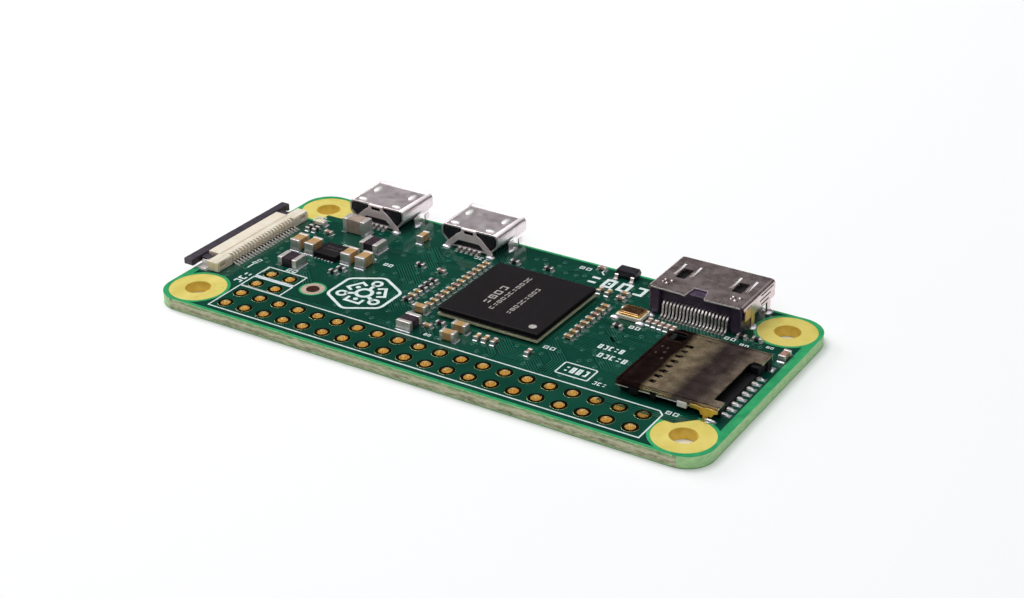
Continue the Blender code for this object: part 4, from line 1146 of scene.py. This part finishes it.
def video_port():
    """X is measured from the port's middle."""
    low, high = place("video_port_shell")
    x0 = (low.x + high.x) / 2
    half = (high.x - low.x) / 2
    top = high.z
    rear, front, ring = 7.9, high.y, 10.0
    wall = 0.2
    bend_r = 0.4
    edge_x = half - bend_r
    corners = [(-4.2, 0.15), (4.2, 0.15), (half, 1.3), (half, top), (-half, top), (-half, 1.3)]
    outline = rounded(corners, [0.4, 0.4, 0.5, bend_r, bend_r, 0.5], 6)

    shape = Shape().at(x0, 0)
    video_roof(shape, edge_x, rear, front, top)
    shape.plate([open_topped(outline, edge_x, top, wall)], ring, front, "XZ", edge=0.02, steps=1)
    for side in (-1, 1):
        video_side(shape, side, half, edge_x, rear, ring, top)
    finishes = [STAINLESS, BLACK_MATT, SOLDER, BRIGHT_TIN_AND_HIGHLIGHT]
    shape.piece("video_port_case", finishes, "dark_metal", nodes=["video_port_shell"])

    under = place("video_port_insulator")[1].z
    shape = Shape().at(x0, 0)
    shape.plate([inset(outline, wall + 0.04)], 9.3, 11.0, "XZ", edge=0.05)
    shape.box((-4.6, 8.75, 0.5), (4.6, 9.4, under), edge=0.05)
    for side in (-1, 1):
        near, far = span(side, 4.09, 5.15)
        shape.box((near, 8.1, 0.05), (far, 9.41, under), edge=0.1, steps=3)
    shape.box((-3.95, 8.55, under - 0.5), (3.95, 8.9, under - 0.02), edge=0.05)
    shape.box((-4.3, 8.7, 0.05), (4.3, 9.4, 0.6), edge=0.04)
    shape.box((-3.8, 10.8, 1.5), (3.8, 15.0, 2.1), edge=0.1)
    shape.piece("video_port_moulding", [PLUM], "black_plastic", nodes=["video_port_insulator"])

    shape = Shape().at(x0, 0)
    corners = [(9.0, 1.56), (8.42, 1.56), (8.16, 1.3), (8.1, 0.5), (7.86, 0.12), (7.5, 0.12)]
    path = rounded(corners, [0, 0.16, 0.25, 0.3, 0.12, 0], 5, closed=False)
    for x in row(19, 0.4):
        shape.strip(path, 0.1, x - 0.1, x + 0.1, plane="YZ", edge=0.02)
        shape.box((x - 0.13, 7.3, SUNK), (x + 0.13, 8.15, 0.06), 1, 0.02, 1)
        shape.box((x - 0.09, 10.95, 2.105), (x + 0.09, 14.9, 2.13), 2, 0.008, 1)
    shape.piece("video_port_pins", [TIN, PIN_METAL, GOLD], "tin", nodes=["video_port_contacts"])


# ---------------------------------------------------------------- memory card socket

# The cover's sheet thickness, the lower edge of its sides, and the middle of its row of contact holes.
COVER_T = 0.15
SKIRT_LOW = 0.85
HOLE_ROW_X = 23.05
# Spots of painted shade and dark reflection on the cover: x, y from the cover's middle, size.
PAINTED_SHADE_SPOTS = [(20.75, 2.0, 0.34), (21.35, 1.9, 0.3), (21.47, 1.04, 0.36), (21.77, -0.17, 0.34), (20.72, 0.59, 0.3)]


def card_cover_plate(shape, left, right, window, y0, y1, top):
    """The cover's top with its row of contact holes, and the round-cornered stop hole with a raised rim."""
    middle = (y0 + y1) / 2
    cover = [(left, y0), (right, y0), (right, y0 + 1.35), (window, y0 + 1.35), (window, y1 - 2.9),
             (window + 0.2, y1 - 2.3), (right, y1 - 2.3), (right, y1), (left + 0.9, y1), (left, y1 - 0.9)]
    outline = rounded(cover, [0.12, 0.1, 0.1, 0.15, 0.3, 0.1, 0.1, 0.1, 0.3, 0.3], 3)
    holes = []
    for i, y in enumerate(card_contact_places(middle)):
        wide = 0.47 if i % 3 else 0.4
        skew = 0.06 if i % 2 else -0.05
        corners = [(-wide, -0.24), (wide - 0.08, -0.3), (wide, 0.2), (skew, 0.3), (0.05 - wide, 0.22)]
        holes.append(rounded([(HOLE_ROW_X + u, y + v) for u, v in corners], 0.14, 4))
    stop_y = middle + 4.45
    holes.append(rounded(rectangle(20.22, stop_y - 0.78, 22.06, stop_y + 0.78), 0.62, 6))
    shape.plate([outline] + holes, top - COVER_T, top)
    rim = rounded(rectangle(20.02, stop_y - 0.98, 22.26, stop_y + 0.98), 0.8, 6)
    shape.strip(rim, 0.16, top - 0.02, top + 0.03, closed=True, edge=0.02)


def skirt(shape, edge, inward, top, low, start, end, plane="YZ"):
    """Sheet folded down from the cover's top at edge, to the height low, along the stretch start to end."""
    hem = edge + inward * COVER_T / 2
    level = top - COVER_T / 2
    path = rounded([(edge + inward * 0.3, level), (hem, level), (hem, low)], 0.12, 4, closed=False)
    shape.strip(path, COVER_T, start, end, plane=plane)


def card_cover(left, right, window, y0, y1, top):
    shape = Shape()
    card_cover_plate(shape, left, right, window, y0, y1, top)
    full = [(left + 0.02, 21.25), (22.35, 23.55), (24.2, 27.7)]
    raised = [(21.25, 22.35, 1.2), (23.55, 24.2, 1.14), (27.7, right - 0.02, 1.2)]
    for (start, end), (raised_start, raised_end, height) in zip(full, raised):
        skirt(shape, y0, 1, top, SKIRT_LOW, start, end)
        skirt(shape, y0, 1, top, height, raised_start, raised_end)
    # A near-white strip along the lower edge of each full skirt: a painted highlight on the hem.
    for start, end in full:
        shape.box((start, y0 - 0.015, SKIRT_LOW - 0.01), (end, y0 + COVER_T, SKIRT_LOW + 0.06), 2, 0.01)
    skirt(shape, y1, -1, top, SKIRT_LOW, left + 0.9, right - 0.02)
    skirt(shape, left, 1, top, SKIRT_LOW, y0 + 0.05, y1 - 0.95, plane="XZ")
    shape.box((26.45, y0 - 0.12, 0.5), (27.45, y0 + COVER_T - 0.02, 1.1), 2, 0.04)
    middle = (y0 + y1) / 2
    for x, y, size in PAINTED_SHADE_SPOTS:
        shape.dome(x, middle + y, top - 0.004, (size, size * 1.3), 0.05, 3)
    # Two more spots of painted shade near the cover's back edge.
    for x, y in ((24.25, y1 - 0.95), (27.6, y1 - 0.72)):
        shape.dome(x, y, top - 0.004, (0.7, 0.34), 0.06, 3)
    shape.piece("card_cover", [COVER, SOLDER, BRIGHT_TIN_AND_HIGHLIGHT, SHADED], "dark_metal", nodes=["card_socket_cover"])


def card_base(left, right, window, y0, y1, top):
    shape = Shape()
    inner = COVER_T + 0.04
    under = top - inner
    end = right - 0.1
    shape.box((left + inner, y0 + 0.7, 0.05), (end, y0 + 1.0, under), edge=0.04)
    shape.box((left + inner, y0 + inner, SKIRT_LOW + 0.1), (end, y0 + 0.75, under), edge=0.04)
    shape.box((left + inner + 0.6, y1 - 0.9, 0.05), (end, y1 - inner, under), edge=0.04)
    shape.box((left + inner, y0 + 0.6, 0.05), (left + 1.0, y1 - 1.0, under), edge=0.04)
    shape.box((left + 0.9, y0 + 0.7, 0.05), (22.0, y1 - 0.8, 0.4), edge=0.02)
    shape.box((22.0, y0 + 0.7, 0.05), (window + 0.9, y1 - 0.8, 0.3), edge=0.02)
    places = card_contact_places((y0 + y1) / 2)
    shape.box((22.0, places[0] - 0.6, 0.2), (window + 0.85, places[-1] + 0.8, 0.42), edge=0.02)
    shape.box((window + 0.1, y1 - 2.85, 0.05), (right - 0.2, y1 - 0.8, top - 0.25), edge=0.05)
    for start, stop, height in ((21.3, 22.3, 1.1), (23.6, 24.15, 0.95)):
        shape.box((start, y0 - 0.02, 0.35), (stop, y0 + 0.75, height), edge=0.05)
    shape.box((30.3, 3.0, 0.02), (right - 0.02, 4.05, 1.0), edge=0.05)
    shape.piece("card_base", [BLACK_MATT], "black_plastic", nodes=["card_socket_base"])


def card_contact_places(middle):
    """The contacts' places along Y. The row is a little nearer than the socket's middle."""
    return [middle - 0.67 + y for y in row(8, 1.1)]


def card_socket():
    low, high = place("card_socket_cover")
    left, right = low.x, high.x
    y0, y1 = high.y - 12.0, high.y
    window = right - 1.2
    card_cover(left, right, window, y0, y1, high.z)
    card_base(left, right, window, y0, y1, high.z)

    shape = Shape()
    rise = [(22.6, 0.62), (24.4, 0.78), (28.4, 0.47), (28.9, 0.2), (30.9, 0.12)]
    path = rounded(rise, [0, 0.8, 0.4, 0.3, 0], 4, closed=False)
    for y in card_contact_places((y0 + y1) / 2):
        shape.strip(path, 0.12, y - 0.2, y + 0.2, plane="XZ", edge=0.02)
        shape.box((30.25, y - 0.26, SUNK), (31.35, y + 0.26, 0.05), 1, 0.02, 1)
        shape.dome(30.7, y, 0.02, (0.95, 0.44), 0.16, 1)
    shape.piece("card_contacts", [TIN, SOLDER], "tin", nodes=["card_socket_contacts"])

    shape = Shape()
    blade = [(27.8, 0.86), (28.8, 0.82), (28.95, 0.42), (30.1, 0.42), (30.35, 0.84), (30.7, 0.9),
             (30.68, 1.24), (29.6, 1.3), (29.2, 1.18), (28.4, 1.28), (27.8, 1.24)]
    shape.plate([rounded(blade, 0.06, 3)], y0 - 0.2, y0 - 0.06, "XZ", edge=0.03)
    foot = rounded([(y0 - 0.12, 0.7), (y0 - 0.14, 0.1), (y0 - 0.5, 0.1)], 0.1, 4, closed=False)
    shape.strip(foot, 0.1, 29.2, 29.7, plane="YZ")
    shape.piece("detect_spring", [SPRING_GOLD], "gold", nodes=["card_detect_spring"])

    shape = Shape()
    blob = [(29.25, y0 - 0.16), (29.4, y0 + 0.1), (30.6, y0 + 0.1), (30.67, y0 - 0.34), (29.7, y0 - 0.7)]
    shape.plate([rounded(blob, 0.12, 4)], SUNK, 0.07, edge=0.03)
    shape.dome(30.0, y0 - 0.28, 0.05, (1.25, 0.5), 0.26)
    shape.box((30.35, 3.05, SUNK), (31.2, 4.0, 0.06), edge=0.02)
    shape.dome(30.95, 3.5, 0.03, (0.5, 0.8), 0.16)
    shape.piece("socket_pads", [SOLDER], "tin")


# ---------------------------------------------------------------- processor


def ball_square(shape, middle, z, size, height):
    """Solder balls along the four sides of a package."""
    balls = row(16, 0.68)
    for x in balls:
        for y in (balls[0], balls[-1]):
            shape.dome(middle.x + x, middle.y + y, z, (size, size), height, 1, sides=10, steps=3)
            shape.dome(middle.x + y, middle.y + x, z, (size, size), height, 1, sides=10, steps=3)


def processor():
    low, high = place("processor_substrate")
    middle = (low + high) / 2
    shape = Shape()
    shape.box(low, high, 0, 0.02, 1)
    ball_square(shape, middle, 0.0, 0.36, 0.25)
    shape.piece("processor_carrier", [SUBSTRATE, SOLDER], "substrate", nodes=["processor_substrate"])

    shape = Shape()
    shape.box(*place("memory_substrate"), 0, 0.02, 1)
    ball_square(shape, middle, 0.5, 0.34, 0.22)
    shape.piece("memory_carrier", [MOULD, SOLDER], "mould", nodes=["memory_substrate"])

    low, high = place("memory_package")
    shape = Shape()
    shape.box(low, high, 0, 0.07, 3)
    for mark in ((0.55, 1.3, 4.4, 0.85, 4), (1.72, 2.4, 8.2, 0.5, 11), (3.8, 1.5, 6.4, 0.5, 9)):
        package_bars(shape, *mark, 90, 1, high.z)
    shape.at(7.5, -2.72, z=high.z)
    shape.turned([(0.0, -MARK_DEEP), (0.42, -MARK_DEEP), (0.42, MARK_RISE), (0.0, MARK_RISE)], 28, 1)
    shape.piece("memory_block", [MOULD, MARK], "mould", nodes=["memory_package"])

    shape = Shape()
    shape.box(*place("processor_die"), 0, 0.02, 1)
    shape.piece("processor_chip", [MOULD], "mould", nodes=["processor_die"])


# ---------------------------------------------------------------- crystal, regulator, diode


def crystal():
    low, high = place("crystal_base")
    shape = Shape()
    base = rectangle(low.x, low.y, high.x, high.y)
    shape.plate([rounded(base, 0.15, 3)], low.z, high.z, edge=0.04)
    for x, y in base:
        shape.dome(x, y, 0.0, (1.1, 0.9), 0.3, 1)
    shape.piece("crystal_case", [CREAM, SOLDER], "brown_ceramic", nodes=["crystal_base"])

    low, high = place("crystal_lid")
    shape = Shape()
    outline = rounded(rectangle(low.x, low.y, high.x, high.y), 0.3, 5)
    shape.plate([outline], low.z - 0.02, high.z - 0.08, edge=0.04)
    shape.plate([inset(outline, 0.22)], high.z - 0.12, high.z, material=1, edge=0.05)
    lid = finish("crystal_top", tones((150, 110, 78), (196, 152, 112)), 0.22, metal=1.0, grain=2.0)
    shape.piece("crystal_cap", [GOLD, lid], "gold", nodes=["crystal_lid"])


def regulator():
    low, high = place("power_regulator")
    middle = (low + high) / 2
    shape = Shape()
    outline = rounded(rectangle(low.x, low.y, high.x, high.y), 0.06, 2)
    shape.plate([outline], low.z, high.z, edge=0.04)
    for x in row(6, 0.45, middle.x):
        for y in (low.y, high.y):
            shape.box((x - 0.12, y - 0.28, SUNK), (x + 0.12, y + 0.28, 0.12), 1, 0.03)
    package_bars(shape, middle.x, middle.y + 0.5, 2.0, 0.28, 5, 0, 2, high.z)
    package_bars(shape, middle.x, middle.y - 0.1, 2.0, 0.28, 6, 0, 2, high.z)
    dim = finish("dim_mark", tones((60, 52, 58), (88, 78, 84)), 0.6, grain=3.0)
    shape.piece("regulator_body", [MOULD, SOLDER, dim], "mould", nodes=["power_regulator"])


def diode():
    low, high = place("protection_diode")
    middle_x = (low.x + high.x) / 2
    waist = (low.z + high.z) / 2
    shape = Shape()
    loops = []
    for z, cut in ((low.z, 0.1), (waist, 0.0), (high.z - 0.06, 0.12), (high.z, 0.18)):
        outline = rounded(rectangle(low.x + cut, low.y + cut, high.x - cut, high.y - cut), 0.08, 3)
        loops.append([(x, y, z) for x, y in outline])
    shape.rings(loops)
    for side, x in ((-1, middle_x - 0.95), (-1, middle_x + 0.95), (1, middle_x)):
        wall = low.y if side < 0 else high.y
        corners = [(-0.1, 0.5), (0.18, 0.5), (0.26, 0.1), (0.6, 0.1)]
        path = rounded([(wall + side * u, z) for u, z in corners], [0, 0.1, 0.08, 0], 4, closed=False)
        shape.strip(path, 0.12, x - 0.2, x + 0.2, plane="YZ", material=1)
        near, far = span(side, 0.1, 0.75)
        shape.box((x - 0.32, wall + near, SUNK), (x + 0.32, wall + far, 0.06), 2, 0.02, 1)
    shape.piece("diode_body", [BLACK, TIN, SOLDER], "black_plastic", nodes=["protection_diode"])


# ---------------------------------------------------------------- floor, light and camera


def stage():
    grid = bmesh.new()
    bmesh.ops.create_grid(grid, x_segments=2, y_segments=2, size=1.5)
    data = bpy.data.meshes.new("floor")
    grid.to_mesh(data)
    grid.free()
    floor = bpy.data.objects.new("floor", data)
    bpy.context.scene.collection.objects.link(floor)
    floor.location.z = -0.02 * MM
    pale = tones((247, 248, 249), (250, 251, 252))
    white = finish("floor_white", pale, 0.9, grain=0.002, bump=0.0, specular=0.1)
    data.materials.append(white)


def area_light(name, location, size, energy, colour=(255, 255, 255)):
    """A rectangular light that faces the middle of the board."""
    light = bpy.data.lights.new(name, "AREA")
    light.shape = "RECTANGLE"
    light.size, light.size_y = size
    light.energy = energy
    light.color = linear(colour)
    obj = bpy.data.objects.new(name, light)
    bpy.context.scene.collection.objects.link(obj)
    obj.location = location
    obj.rotation_euler = Vector(location).to_track_quat("Z", "Y").to_euler()


def world():
    """A bright overhead dome over a dim brown band, as in a dark studio with a large soft box."""
    sky = bpy.data.worlds.new("studio")
    bpy.context.scene.world = sky
    sky.use_nodes = True
    tree = sky.node_tree
    background = tree.nodes["Background"]
    texture = tree.nodes.new("ShaderNodeTexCoord")
    split = tree.nodes.new("ShaderNodeSeparateXYZ")
    tree.links.new(texture.outputs["Generated"], split.inputs["Vector"])
    blotch = node(tree, "ShaderNodeTexNoise", Scale=2.2, Detail=2.0)
    tree.links.new(texture.outputs["Generated"], blotch.inputs["Vector"])
    shift = node(tree, "ShaderNodeMath")
    shift.operation = "MULTIPLY_ADD"
    shift.inputs[1].default_value = 0.22
    tree.links.new(blotch.outputs["Fac"], shift.inputs[0])
    tree.links.new(split.outputs["Z"], shift.inputs[2])
    stops = [(0.08, (240, 240, 242)), (0.24, (110, 102, 98)), (0.4, (58, 50, 46)), (0.66, (48, 42, 38)),
             (0.84, (236, 238, 242)), (1.0, (255, 255, 255))]
    colour = ramp_of(tree, shift.outputs["Value"], stops)
    tree.links.new(colour, background.inputs["Color"])
    background.inputs["Strength"].default_value = 1.09


CAMERA_AT = (0.089666, -0.136694, 0.087706)
CAMERA_RIGHT = (0.84846, 0.52915, -0.01061)
CAMERA_UP = (-0.23691, 0.39764, 0.88643)
CAMERA_BACK = (0.47327, -0.74959, 0.46274)
FOCAL_LENGTH = 62.54


def camera():
    data = bpy.data.cameras.new("view")
    data.lens = FOCAL_LENGTH
    data.sensor_width = 36.0
    data.clip_start = 0.01
    obj = bpy.data.objects.new("view", data)
    bpy.context.scene.collection.objects.link(obj)
    turn = Matrix((CAMERA_RIGHT, CAMERA_UP, CAMERA_BACK)).transposed().to_4x4()
    obj.matrix_world = Matrix.Translation(CAMERA_AT) @ turn
    bpy.context.scene.camera = obj
    bpy.context.scene.view_settings.view_transform = "Standard"


camera()
world()
area_light("overhead", (-0.3, 0.1, 0.7), (0.4, 0.4), 2.0)
area_light("key", (-0.55, 0.12, 0.3), (0.3, 0.25), 1.2, (255, 250, 246))
area_light("fill", (0.45, -0.5, 0.4), (0.6, 0.4), 0.2)
stage()
laminate()
snapped_edges()
masks()
plated_holes()
tooling_mark()
tracks()
vias()
printing()
large_chips()
decoupling_columns()
small_chips()
camera_connector()
small_port("power_port")
small_port("data_port")
video_port()
card_socket()
processor()
crystal()
regulator()
diode()
